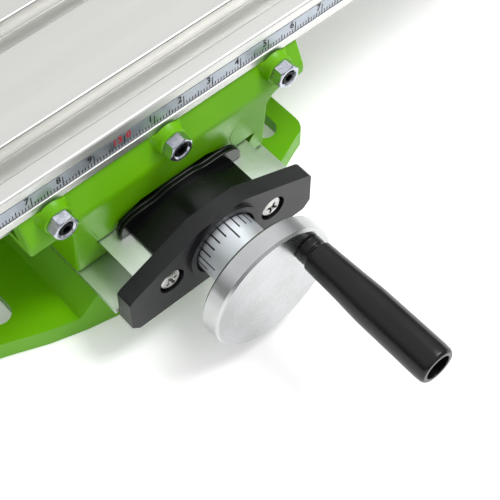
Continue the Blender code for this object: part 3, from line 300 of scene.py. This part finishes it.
def finish_piece(piece, name, material, body, slot, *nodes):
    """Name a finished piece, give it its material and body, and hide the CAD nodes it stands for.
    """
    piece.name = name
    piece.data.name = name
    piece.data.materials.clear()
    piece.data.materials.append(material)
    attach(piece, body)
    if nodes:
        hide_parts(*nodes)
    return piece


def refined(node, material, body, slot, width=FINE_EDGE, segments=2, angle=25.0):
    """A CAD node with its edges broken, standing for that node."""
    piece = soften(solid_copy(node), width, segments, angle)
    return finish_piece(piece, node + "_finished", material, body, slot, node)


# ---- materials -----------------------------------------------------------------------------
def add(tree, kind, settings=(), sockets=()):
    """Add a node to a material: its own settings, then its sockets' values or links."""
    node = tree.nodes.new(kind)
    for key, value in dict(settings).items():
        setattr(node, key, value)
    for key, value in dict(sockets).items():
        if isinstance(value, bpy.types.NodeSocket):
            tree.links.new(value, node.inputs[key])
        else:
            node.inputs[key].default_value = value
    return node


def blank(name, colour, roughness, metallic=0.0):
    """A material with a Principled shader; returns it with its tree and shader."""
    material = bpy.data.materials.new(name)
    material.use_nodes = True
    tree = material.node_tree
    shader = tree.nodes["Principled BSDF"]
    shader.inputs["Base Color"].default_value = linear(colour)
    shader.inputs["Roughness"].default_value = roughness
    shader.inputs["Metallic"].default_value = metallic
    return material, tree, shader


def object_coords(tree, scale=(1, 1, 1), turn=(0, 0, 0), place=(0, 0, 0)):
    """Object coordinates, moved, turned and stretched."""
    source = add(tree, "ShaderNodeTexCoord")
    return add(tree, "ShaderNodeMapping", {"vector_type": "POINT"},
               {"Vector": source.outputs["Object"], "Scale": scale, "Rotation": turn,
                "Location": place}).outputs["Vector"]


def noise(tree, vector, size, detail=3.0, rough=0.55):
    """Noise whose lumps have a given size."""
    return add(tree, "ShaderNodeTexNoise", {},
               {"Vector": vector, "Scale": 1 / size, "Detail": detail,
                "Roughness": rough}).outputs["Fac"]


def ramp(tree, value, low, high, out_low, out_high):
    """A value taken from one range into another."""
    return add(tree, "ShaderNodeMapRange", {},
               {"Value": value, "From Min": low, "From Max": high, "To Min": out_low,
                "To Max": out_high}).outputs["Result"]


def blend_colours(tree, value, first, second):
    """A colour between two, by a value from 0 to 1."""
    mix = add(tree, "ShaderNodeMix", {"data_type": "RGBA"}, {"Factor": value})
    colour_a, colour_b = [s for s in mix.inputs if s.type == "RGBA"]
    colour_a.default_value = linear(first)
    colour_b.default_value = linear(second)
    return [s for s in mix.outputs if s.type == "RGBA"][0]


def bump(tree, height, depth, strength=1.0):
    """A bump of a real depth from a height between 0 and 1."""
    return add(tree, "ShaderNodeBump", {},
               {"Height": height, "Distance": depth, "Strength": strength}).outputs["Normal"]


def powder_coat():
    """Yellow-green powder coat on a casting: glossy, cloudy, with the slow waviness of orange
    peel."""
    material, tree, shader = blank("powder_coat_green", "#62A600", 0.34)
    coords = object_coords(tree)
    peel = noise(tree, coords, 1.6 * MM, 1.0)
    tint = noise(tree, coords, 22 * MM, 2.0)
    tree.links.new(blend_colours(tree, ramp(tree, tint, 0.35, 0.65, 0, 1), "#60A400", "#67AB02"),
                   shader.inputs["Base Color"])
    tree.links.new(ramp(tree, noise(tree, coords, 5 * MM), 0.3, 0.7, 0.3, 0.4),
                   shader.inputs["Roughness"])
    tree.links.new(bump(tree, peel, 0.03 * MM), shader.inputs["Normal"])
    shader.inputs["Specular IOR Level"].default_value = 0.24
    return material


def drawn_aluminium(name, stretch, colour, other, roughness):
    """Extruded aluminium, clear anodised: satin, with faint die lines along its length."""
    material, tree, shader = blank(name, colour, roughness, 1.0)
    coords = object_coords(tree, stretch)
    lines = noise(tree, coords, 0.35 * MM, 3.0, 0.7)
    broad = noise(tree, coords, 6 * MM, 2.0)
    tree.links.new(blend_colours(tree, ramp(tree, broad, 0.3, 0.7, 0, 1), colour, other),
                   shader.inputs["Base Color"])
    tree.links.new(ramp(tree, lines, 0.25, 0.75, roughness - 0.05, roughness + 0.07),
                   shader.inputs["Roughness"])
    tree.links.new(bump(tree, lines, 0.004 * MM), shader.inputs["Normal"])
    return material


def moulded_plastic(name, colour, other, roughness, grain, depth, specular):
    """Injection-moulded black plastic: a fine spark texture over a soft sheen."""
    material, tree, shader = blank(name, colour, roughness)
    coords = object_coords(tree)
    speck = noise(tree, coords, grain, 2.0, 0.6)
    flow = noise(tree, coords, 12 * MM, 2.0)
    tree.links.new(ramp(tree, flow, 0.3, 0.7, roughness - 0.03, roughness + 0.05),
                   shader.inputs["Roughness"])
    tree.links.new(blend_colours(tree, ramp(tree, flow, 0.35, 0.65, 0, 1), colour, other),
                   shader.inputs["Base Color"])
    shader.inputs["Specular IOR Level"].default_value = specular
    tree.links.new(bump(tree, speck, depth), shader.inputs["Normal"])
    return material


def plated_steel(name, colour, other, roughness):
    """Zinc-plated or bright steel: cloudy, with fine tool marks."""
    material, tree, shader = blank(name, colour, roughness, 1.0)
    coords = object_coords(tree)
    cloud = noise(tree, coords, 2.5 * MM, 3.0)
    marks = noise(tree, object_coords(tree, (1, 4, 1)), 0.3 * MM, 2.0)
    tree.links.new(blend_colours(tree, ramp(tree, cloud, 0.35, 0.65, 0, 1), colour, other),
                   shader.inputs["Base Color"])
    tree.links.new(ramp(tree, cloud, 0.3, 0.7, roughness - 0.06, roughness + 0.08),
                   shader.inputs["Roughness"])
    tree.links.new(bump(tree, marks, 0.004 * MM), shader.inputs["Normal"])
    return material


def ring_height(tree, centre, axis, spacing):
    """Fine rings round an axis through a point, as a lathe leaves on a face."""
    coords = object_coords(tree, (1, 1, 1), (0, 0, 0), [-c for c in centre])
    flat = [1.0, 1.0, 1.0]
    flat["XYZ".index(axis)] = 0.0
    spread = add(tree, "ShaderNodeVectorMath", {"operation": "MULTIPLY"}, {0: coords, 1: flat})
    length = add(tree, "ShaderNodeVectorMath", {"operation": "LENGTH"},
                 {0: spread.outputs["Vector"]}).outputs["Value"]
    radius = add(tree, "ShaderNodeCombineXYZ", {}, {"X": length}).outputs["Vector"]
    return add(tree, "ShaderNodeTexNoise", {},
               {"Vector": radius, "Scale": 1 / spacing, "Detail": 2.0,
                "Roughness": 0.6}).outputs["Fac"]


def turned_metal(name, centre, axis, colour, roughness, spacing, depth):
    """Turned metal with the lathe's fine rings round its axis."""
    material, tree, shader = blank(name, colour, roughness, 1.0)
    rings = ring_height(tree, centre, axis, spacing)
    cloud = noise(tree, object_coords(tree), 9 * MM, 2.0)
    tree.links.new(ramp(tree, rings, 0.3, 0.7, roughness - 0.05, roughness + 0.05),
                   shader.inputs["Roughness"])
    tree.links.new(blend_colours(tree, ramp(tree, cloud, 0.3, 0.7, 0, 1), colour, "#C8CACC"),
                   shader.inputs["Base Color"])
    tree.links.new(bump(tree, rings, depth), shader.inputs["Normal"])
    return material


def printed_ink(name, colour):
    """Screen-printed or filled-in ink: flat and slightly uneven."""
    material, tree, shader = blank(name, colour, 0.55)
    patch = noise(tree, object_coords(tree), 0.5 * MM, 2.0)
    tree.links.new(ramp(tree, patch, 0.3, 0.7, 0.45, 0.65), shader.inputs["Roughness"])
    return material


def plain_floor():
    """A white paper sweep, matt and barely mottled."""
    material, tree, shader = blank("white_paper", "#FFFFFF", 0.9)
    shader.inputs["Emission Color"].default_value = linear("#FFFFFF")
    shader.inputs["Emission Strength"].default_value = FLOOR_GLOW
    mottle = noise(tree, object_coords(tree), 60 * MM, 2.0)
    tree.links.new(blend_colours(tree, ramp(tree, mottle, 0.3, 0.7, 0, 1), "#FFFFFF",
                                 "#FDFDFD"), shader.inputs["Base Color"])
    return material


# ---- finishes ------------------------------------------------------------------------------
green = powder_coat()
table_metal = drawn_aluminium("anodised_aluminium_table", (0.02, 1, 1), "#DCDCD9", "#D8D8D5", 0.42)
rail_metal = drawn_aluminium("milled_aluminium_rail", (1, 0.02, 1), "#DDE2DC", "#D4DAD4", 0.36)
plate_plastic = moulded_plastic("moulded_abs_plates", "#121215", "#161619", 0.36, 0.35 * MM,
                                0.006 * MM, 0.4)
cover_plastic = moulded_plastic("glossy_polyethylene_cover", "#050706", "#090B0A", 0.24,
                                0.8 * MM, 0.004 * MM, 0.3)
handle_plastic = moulded_plastic("phenolic_handle", "#0C0C0E", "#101012", 0.25, 0.5 * MM,
                                 0.003 * MM, 0.35)
nut_steel = plated_steel("zinc_plated_steel", "#C9CCD4", "#B2B6C2", 0.27)
screw_steel = plated_steel("bright_screw_steel", "#CFCFCC", "#B9BAB6", 0.25)
black_steel = plated_steel("black_oxide_steel", "#2A2A2C", "#1C1C1E", 0.42)
gib_steel = plated_steel("ground_gib_steel", "#9A9A98", "#8A8A88", 0.35)
bronze = plated_steel("machined_bronze", "#B98F4E", "#A87F42", 0.32)
tape_metal = plated_steel("satin_tape_steel", "#A9B0BA", "#B6BCC4", 0.42)
black_ink = printed_ink("black_ink", "#121213")
red_ink = printed_ink("red_ink", "#B80A20")


# ---- places taken from the frame -----------------------------------------------------------
def screw_axis(prefix, axis):
    """A point on a leadscrew's axis, with the coordinate along the axis at zero."""
    place = middle(prefix + "_leadscrew")
    place["XYZ".index(axis)] = 0.0
    return place


Y_AXIS = screw_axis("y", "Y")
X_AXIS = screw_axis("x", "X")
SADDLE_LOW, SADDLE_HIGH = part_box("saddle")
TABLE_LOW, TABLE_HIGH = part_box("table")
TAPE_LOW, TAPE_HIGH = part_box("scale_tape")
SADDLE_FRONT = SADDLE_LOW.y + SADDLE_SETBACK
BOSS_FACE = SADDLE_LOW.y
RAIL_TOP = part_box("y_rail")[1].z
SADDLE_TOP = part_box("x_gib")[1].z + GAP


def section(points, low, high, foot):
    """A closed section in millimetres about the rail's middle, drawn out along the rail."""
    return prism([(Y_AXIS.x + x * MM, foot + z * MM) for x, z in points], "Y", low, high)


# ---- pieces kept in shape from the frame, their edges broken -------------------------------
def make_base():
    """The base casting. Its underside is a face with the hollows as holes in it, so faces are
    split into convex ones before the edges are rounded."""
    base = solid_copy("base")
    open_whole(base)
    bpy.ops.mesh.vert_connect_concave()
    close_edit()
    soften(base, CAST_EDGE, 3)
    finish_piece(base, "base_finished", green, "base", "green_enamel", "base")


def make_extrusions():
    """The rail, the table and the scale tape on the table's front."""
    refined("y_rail", rail_metal, "base", "aluminium", FINE_EDGE, 2)
    refined("table", table_metal, "table", "aluminium", 0.2 * MM, 2)
    refined("scale_tape", tape_metal, "table", "tape", 0.05 * MM, 1)


def saddle_body():
    """The saddle's solid: rounded like a casting outside, with crisp machined dovetails."""
    x, half = Y_AXIS.x, (SADDLE_HIGH.x - SADDLE_LOW.x) / 2
    foot, top = SADDLE_LOW.z, SADDLE_TOP
    y = (SADDLE_FRONT + SADDLE_HIGH.y) / 2
    deep = SADDLE_HIGH.y - y
    back = [(deep - WALL_FOOT_BACK, foot), (deep, top - WALL_LOW_DROP),
            (deep, top - WALL_HIGH_DROP), (deep - WALL_TOP_BACK, top)]
    outline = [(y + v, z) for v, z in back] + [(y - v, z) for v, z in reversed(back)]
    body = prism(outline, "X", x - half, x + half)
    for side in (-1, 1):
        ceiling = top - ARCH_DROP
        arch = [(LEG_HALF, foot - MM), (half + MM, foot - MM), (half + MM, ceiling)]
        for step in range(ARCH_STEPS + 1):
            angle = math.pi / 2 + math.pi / 2 * step / ARCH_STEPS
            arch.append((LEG_HALF + ARCH_R + ARCH_R * math.cos(angle),
                         ceiling - ARCH_R + ARCH_R * math.sin(angle)))
        cut(body, prism([(x + side * u, z) for u, z in arch], "Y", y - deep - MM, y + deep + MM))
    soften(body, CAST_EDGE, 4)
    floor, lip = top - TABLE_WAY_DEPTH, SADDLE_FRONT + TABLE_WAY_LIP
    above = top + MM
    rise = (above - floor) * DOVETAIL_LEAN
    cut(body, prism([(lip, floor), (lip + rise, above), (2 * y - lip - rise, above),
                     (2 * y - lip, floor)], "X", x - half - MM, x + half + MM))
    rail = (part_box("y_rail")[1].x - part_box("y_rail")[0].x) / 2 - RAIL_FLANK
    low, high = foot - MM, RAIL_TOP + RAIL_TOP_CLEAR
    mouth = [(-rail + (RAIL_TOP - low) * DOVETAIL_LEAN - PLAIN_SIDE_LOW, low),
             (rail - (RAIL_TOP - low) * DOVETAIL_LEAN + GIB_SIDE_LOW, low),
             (rail + GIB_SIDE_HIGH, high), (-rail - PLAIN_SIDE_HIGH, high)]
    cut(body, prism([(x + u, z) for u, z in mouth], "Y", y - deep - MM, y + deep + MM))
    tunnel = [(-19.5, 0), (19.5, 0), (19.5, 3.4), (11.5, 6.4), (-11.5, 6.4), (-19.5, 3.4)]
    cut(body, section(tunnel, y - deep - MM, y + deep + MM, RAIL_TOP))
    return shade(body)


def boss_flare(place, radius):
    """A round pad that flares into the leaning wall behind it."""
    profile = [(0, 0), (radius - GAP, 0), (radius, GAP)]
    for step in range(1, 9):
        share = step / 8
        profile.append((radius + BOSS_FLARE * (1 - math.sqrt(1 - (0.97 * share) ** 2)),
                        GAP + share * (BOSS_FLARE_DEPTH - GAP)))
    return turned(profile + [(0, BOSS_FLARE_DEPTH)], place, (0, 1, 0), 64)


def leg_facet(side, crease, foot):
    """A flat dressed into one leg's front, its foot proud of the undercut wall."""
    x = Y_AXIS.x
    corners = [(31.9, crease), (24.6, crease), (20.2, 33.0 * MM), (21.6, foot), (26.5, foot)]
    points = [(x + side * u * MM, z) for u, z in corners]
    facet = prism(points, "Y", SADDLE_FRONT, SADDLE_FRONT + 6 * MM)
    for vertex in facet.data.vertices:
        if vertex.co.y < SADDLE_FRONT + MM:
            vertex.co.y += FACET_LEAN * (crease - vertex.co.z) / (crease - foot)
    return facet


def make_saddle():
    """The saddle casting, its bosses flared into the wall and the flats on its legs."""
    body = saddle_body()
    finish_piece(body, "saddle_finished", green, "saddle", "green_enamel", "saddle")
    for number in (1, 2, 3):
        low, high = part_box("x_gib_nut_" + str(number))
        seat = ((low.x + high.x) / 2, BOSS_FACE, (low.z + high.z) / 2)
        pad = boss_flare(seat, BOSS_R)
        cut(pad, box((seat[0] - 12 * MM, TABLE_LOW.y - 2 * GAP, SADDLE_TOP),
                     (seat[0] + 12 * MM, TABLE_LOW.y + 12 * MM, SADDLE_TOP + 12 * MM)))
        cut(pad, rod(BOSS_BORE_R, (seat[0], BOSS_FACE - MM, seat[2]), (0, 1, 0), 12 * MM, 24))
        shade(pad)
        finish_piece(pad, "saddle_boss_" + str(number), green, "saddle", "green_enamel")
    for side, word in ((-1, "left"), (1, "right")):
        facet = leg_facet(side, FACET_CREASE, RAIL_TOP + 0.5 * MM)
        soften(facet, 0.3 * MM, 2)
        finish_piece(facet, "saddle_leg_flat_" + word, green, "saddle", "green_enamel")


def make_plates():
    """The four moulded end plates."""
    for node, body in (("front_end_plate", "base"), ("rear_end_plate", "base"),
                       ("left_end_plate", "table"), ("right_end_plate", "table")):
        refined(node, plate_plastic, body, "black_plastic", MOULDED_EDGE, 3)


def make_cover():
    """The moulded cover over the screw: a low arch, and a wavy rim of two beads with a groove
    between them. Outlines are in millimetres; a bead has its front, its back and its inset."""
    low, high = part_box("screw_cover")
    foot = low.z
    inside = [(-16.7, 0.0), (-5.4, 3.6), (5.4, 3.6), (16.7, 0.0)]
    arch = [(18.3, 0.0), (18.3, 0.9), (5.8, 5.2), (-5.8, 5.2), (-18.3, 0.9), (-18.3, 0.0)]
    body = section(arch + inside, low.y, high.y, foot)
    soften(body, COVER_EDGE, 3)
    beads = [body]
    half = [(21.6, 0.0), (21.6, 2.2), (20.9, 3.9), (19.4, 5.2), (17.2, 6.0), (14.6, 6.3),
            (11.6, 6.35), (8.8, 6.4), (7.0, 6.8), (5.2, 7.4), (3.0, 7.6)]
    face = SADDLE_FRONT - GAP
    for front, back, inset in COVER_BEADS:
        rim = [(x - inset, max(z - inset, 0.0)) for x, z in half]
        outline = rim + [(-x, z) for x, z in reversed(rim)] + inside
        bead = section(outline, face - front * MM, face - back * MM, foot)
        soften(bead, BEAD_EDGE, 3)
        beads.append(bead)
    finish_piece(gather("screw_cover_finished", beads), "screw_cover_finished", cover_plastic,
                 "saddle", "black_plastic", "screw_cover")


def make_small_metal():
    """Gibs, nuts, bushes and pins."""
    for node in ("x_gib", "y_gib"):
        refined(node, gib_steel, "saddle", "steel", SMALL_EDGE, 1)
    for node, body in (("x_nut", "saddle"), ("y_nut", "saddle"), ("front_bush", "base"),
                       ("rear_bush", "base"), ("left_bush", "table"), ("right_bush", "table")):
        refined(node, bronze, body, "bronze", SMALL_EDGE, 1)
    for node, body in (("x_nut_screw", "saddle"), ("y_nut_screw", "saddle"),
                       ("x_drive_pin", "x_screw"), ("y_drive_pin", "y_screw"),
                       ("x_end_nut", "x_screw"), ("y_end_nut", "y_screw")):
        refined(node, screw_steel, body, "steel", SMALL_EDGE, 1)
    for number in range(1, 5):
        refined("rail_bolt_" + str(number), screw_steel, "base", "steel", 0.1 * MM, 1)
    for prefix, body in (("x", "x_screw"), ("y", "y_screw")):
        refined(prefix + "_handle_pin", screw_steel, body, "steel", SMALL_EDGE, 1)
        refined(prefix + "_leadscrew", screw_steel, body, "steel", SMALL_EDGE, 1)


def lock_nut(node, turn, prefix):
    """A hexagon nut, turned as it was tightened, chamfered outside and countersunk."""
    low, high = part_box(node)
    centre = (low + high) / 2
    index = 1 if prefix == "x" else 0
    thick = high[index] - low[index]
    outward = Vector((0, -1, 0)) if prefix == "x" else Vector((1, 0, 0))
    seat = centre - outward * (thick / 2 + NUT_SEAT)
    thick += NUT_SEAT
    corner = NUT_HALF_FLATS / math.cos(math.pi / 6)
    nut = rod(corner, seat - outward * MM, outward, thick + 2 * MM, 6)
    nut.data.transform(Matrix.Translation(seat) @ Matrix.Rotation(turn, 4, outward)
                       @ Matrix.Translation(-seat))
    crown = turned([(0, 0), (corner - 0.25 * MM, 0), (corner + 0.05 * MM, 0.2 * MM),
                    (corner + 0.05 * MM, thick - 0.55 * MM), (3.35 * MM, thick), (0, thick)],
                   seat, outward, 72)
    combine(nut, crown, "INTERSECT")
    cut(nut, turned([(0, -MM), (NUT_BORE_R, -MM), (NUT_BORE_R, thick - 0.45 * MM),
                     (NUT_SINK_R, thick + 0.05 * MM), (NUT_SINK_R, thick + MM), (0, thick + MM)],
                    seat, outward, 48))
    soften(nut, 0.08 * MM, 2)
    finish_piece(nut, node + "_finished", nut_steel, "saddle", "steel", node)


def make_adjusters():
    """The gibs' set screws and lock nuts."""
    for prefix in ("x", "y"):
        for number in range(1, 4):
            node = prefix + "_gib_nut_" + str(number)
            lock_nut(node, NUT_TURNS[number - 1], prefix)
            node = prefix + "_gib_screw_" + str(number)
            refined(node, black_steel, "saddle", "black_oxide", 0.12 * MM, 1)


def pan_screw(node, end, body, turn):
    """A pan screw with a cross recess in its head."""
    outward = Vector({"front": (0, -1, 0), "rear": (0, 1, 0), "left": (-1, 0, 0),
                      "right": (1, 0, 0)}[end])
    low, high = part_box(node)
    head = (low + high) / 2 + outward * (high - low).dot(Vector([abs(c) for c in outward])) / 2
    screw = solid_copy(node)
    for quarter in (0, 1):
        blade = box((-RECESS_HALF_WIDTH, -RECESS_REACH, -RECESS_DEPTH),
                    (RECESS_HALF_WIDTH, RECESS_REACH, MM))
        blade.data.transform(Matrix.Translation(head)
                             @ outward.to_track_quat("Z", "Y").to_matrix().to_4x4()
                             @ Matrix.Rotation(turn + quarter * math.pi / 2, 4, "Z"))
        cut(screw, blade)
    cut(screw, turned([(0, -1.7 * MM), (0.5 * MM, -RECESS_DEPTH), (1.15 * MM, 0.3 * MM),
                       (0, 0.3 * MM)], head, outward, 24))
    soften(screw, 0.07 * MM, 1)
    finish_piece(screw, node + "_finished", screw_steel, body, "steel", node)


def make_plate_screws():
    """The end plates' pan screws."""
    for end, body, sides in (("front", "base", ("left", "right")),
                             ("rear", "base", ("left", "right")),
                             ("left", "table", ("front", "back")),
                             ("right", "table", ("front", "back"))):
        for side in sides:
            turn = LEFT_CROSS_TURN if side == "left" else OTHER_CROSS_TURN
            pan_screw(end + "_plate_screw_" + side, end, body, turn)


def figure(text, x):
    """One printed figure on the tape, its middle at x."""
    deselect()
    bpy.ops.object.text_add(location=(x, TAPE_LOW.y - INK, TAPE_LOW.z + FIGURE_RISE),
                            rotation=(math.pi / 2, 0, 0))
    letter = bpy.context.object
    letter.data.body = text
    letter.data.align_x = "CENTER"
    letter.data.size = FIGURE_HEIGHT / CAPITAL
    letter.data.offset = 0.09 * MM
    letter.data.extrude = INK
    letter.data.resolution_u = 4
    bpy.ops.object.convert(target="MESH")
    letter.scale.x = 0.85
    return settle(letter)


def make_tape_print():
    """Millimetre ticks and centimetre figures on the tape, the full ten in red."""
    front = TAPE_LOW.y - INK
    marks = []
    reach_low = math.ceil((TAPE_LOW.x - TAPE_ZERO) / MM + 0.5)
    reach_high = math.floor((TAPE_HIGH.x - TAPE_ZERO) / MM - 0.5)
    for every, height in ((1, TICK_SHORT), (5, TICK_FIFTH), (10, TICK_TENTH)):
        first = math.ceil(reach_low / every) * every
        count = (reach_high - first) // every + 1
        x = TAPE_ZERO + first * MM
        tick = box((x - TAPE_TICK_WIDTH / 2, front, TAPE_LOW.z + 0.05 * MM),
                   (x + TAPE_TICK_WIDTH / 2, TAPE_LOW.y + INK, TAPE_LOW.z + height))
        apply(tick, "ARRAY", count=count, use_relative_offset=False, use_constant_offset=True,
              constant_offset_displace=(every * MM, 0, 0))
        marks.append(tick)
    tens = []
    for centimetre in range(math.ceil(reach_low / 10), reach_high // 10 + 1):
        number = TAPE_FIGURE + centimetre
        x = TAPE_ZERO + centimetre * 10 * MM
        if number % 10:
            marks.append(figure(str(number % 10), x - FIGURE_BEFORE))
        else:
            for text, place in zip(str(number), TENS_PLACES):
                tens.append(figure(text, x + place))
    finish_piece(gather("tape_marks", marks), "tape_marks", black_ink, "table", "tape")
    finish_piece(gather("tape_tens", tens), "tape_tens", red_ink, "table", "tape")


def make_dial_marks(prefix, axis, body):
    """The dial's filled-in divisions, every fifth one longer."""
    low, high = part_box(prefix + "_dial")
    centre = X_AXIS if prefix == "x" else Y_AXIS
    index = "XYZ".index(axis)
    radius = (high.z - low.z) / 2
    out = 1 if prefix == "x" else -1
    plate_side = (low if out > 0 else high)[index]
    marks = []
    for division in range(DIAL_DIVISIONS):
        length = DIAL_SHORT_MARK if division % DIAL_LONG_EVERY else DIAL_LONG_MARK
        start, end = sorted((plate_side + out * DIAL_MARK_START, plate_side + out * length))
        corner_low = [-DIAL_MARK_WIDTH / 2] * 3
        corner_high = [DIAL_MARK_WIDTH / 2] * 3
        corner_low[index], corner_high[index] = start, end
        corner_low[2], corner_high[2] = radius - DIAL_MARK_DEPTH, radius + INK
        mark = box(corner_low, corner_high)
        turn = DIAL_FIRST + division * 2 * math.pi / DIAL_DIVISIONS
        place = centre.copy()
        place[index] = 0.0
        mark.data.transform(Matrix.Translation(place) @ Matrix.Rotation(turn, 4, axis))
        marks.append(mark)
    finish_piece(gather(prefix + "_dial_marks", marks), prefix + "_dial_marks", black_ink, body,
                 "black_oxide")


def make_drive(prefix, axis, body, grip_body):
    """A handwheel, its dial and its handle."""
    centre = X_AXIS if prefix == "x" else Y_AXIS
    rim = turned_metal(prefix + "_turned_wheel", centre, axis, "#BEBFBF", 0.26, 0.5 * MM,
                       0.003 * MM)
    dial = turned_metal(prefix + "_satin_chrome_dial", centre, axis, "#DDE4EA", 0.52, 0.4 * MM,
                        0.002 * MM)
    refined(prefix + "_handwheel", rim, body, "turned_metal", 0.3 * MM, 2)
    refined(prefix + "_dial", dial, body, "turned_metal", SMALL_EDGE, 1)
    refined(prefix + "_handle", handle_plastic, grip_body, "black_plastic", 0.2 * MM, 2)
    make_dial_marks(prefix, axis, body)


# ---- stage ---------------------------------------------------------------------------------
def make_floor():
    """A wide pale floor under the base."""
    deselect()
    bpy.ops.mesh.primitive_plane_add(size=FLOOR_SIZE,
                                     location=(0, 0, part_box("base")[0].z - FLOOR_DROP))
    floor = bpy.context.object
    floor.name = "floor"
    floor.data.materials.append(plain_floor())


def area_light(name, place, target, size, power):
    """A soft square lamp aimed at a point."""
    data = bpy.data.lights.new(name, "AREA")
    data.size = size
    data.energy = power
    lamp = bpy.data.objects.new(name, data)
    lamp.location = place
    lamp.rotation_euler = (Vector(target) - Vector(place)).to_track_quat("-Z", "Y").to_euler()
    bpy.context.scene.collection.objects.link(lamp)


def make_light():
    """A white sky that falls off towards the horizon, and one softbox high on the right."""
    world = bpy.data.worlds.new("studio")
    bpy.context.scene.world = world
    world.use_nodes = True
    tree = world.node_tree
    sky = tree.nodes["Background"]
    direction = add(tree, "ShaderNodeTexCoord").outputs["Generated"]
    height = add(tree, "ShaderNodeSeparateXYZ", {}, {"Vector": direction}).outputs["Z"]
    tree.links.new(blend_colours(tree, ramp(tree, height, 0.15, 0.6, 0, 1), "#646466",
                                 "#FFFFFF"), sky.inputs["Color"])
    sky.inputs["Strength"].default_value = SKY_STRENGTH
    area_light("key_right", KEY_PLACE, Y_AXIS, KEY_SIZE, KEY_POWER)
    bpy.context.scene.view_settings.view_transform = "Standard"


def make_camera():
    """A long lens looking down at the front of the rail."""
    data = bpy.data.cameras.new("camera")
    data.lens = LENS
    data.clip_start = 0.01
    camera = bpy.data.objects.new("camera", data)
    bpy.context.scene.collection.objects.link(camera)
    back = Vector((math.sin(AZIMUTH) * math.cos(ELEVATION),
                   -math.cos(AZIMUTH) * math.cos(ELEVATION), math.sin(ELEVATION)))
    camera.location = middle("y_dial") + AIM_PAST_DIAL + back * DISTANCE
    camera.rotation_euler = back.to_track_quat("Z", "Y").to_euler()
    bpy.context.scene.camera = camera


make_base()
make_extrusions()
make_saddle()
make_tape_print()
make_plates()
make_cover()
make_small_metal()
make_adjusters()
make_plate_screws()
make_drive("y", "Y", "y_screw", "y_grip")
make_drive("x", "X", "x_screw", "x_grip")
make_floor()
make_light()
make_camera()
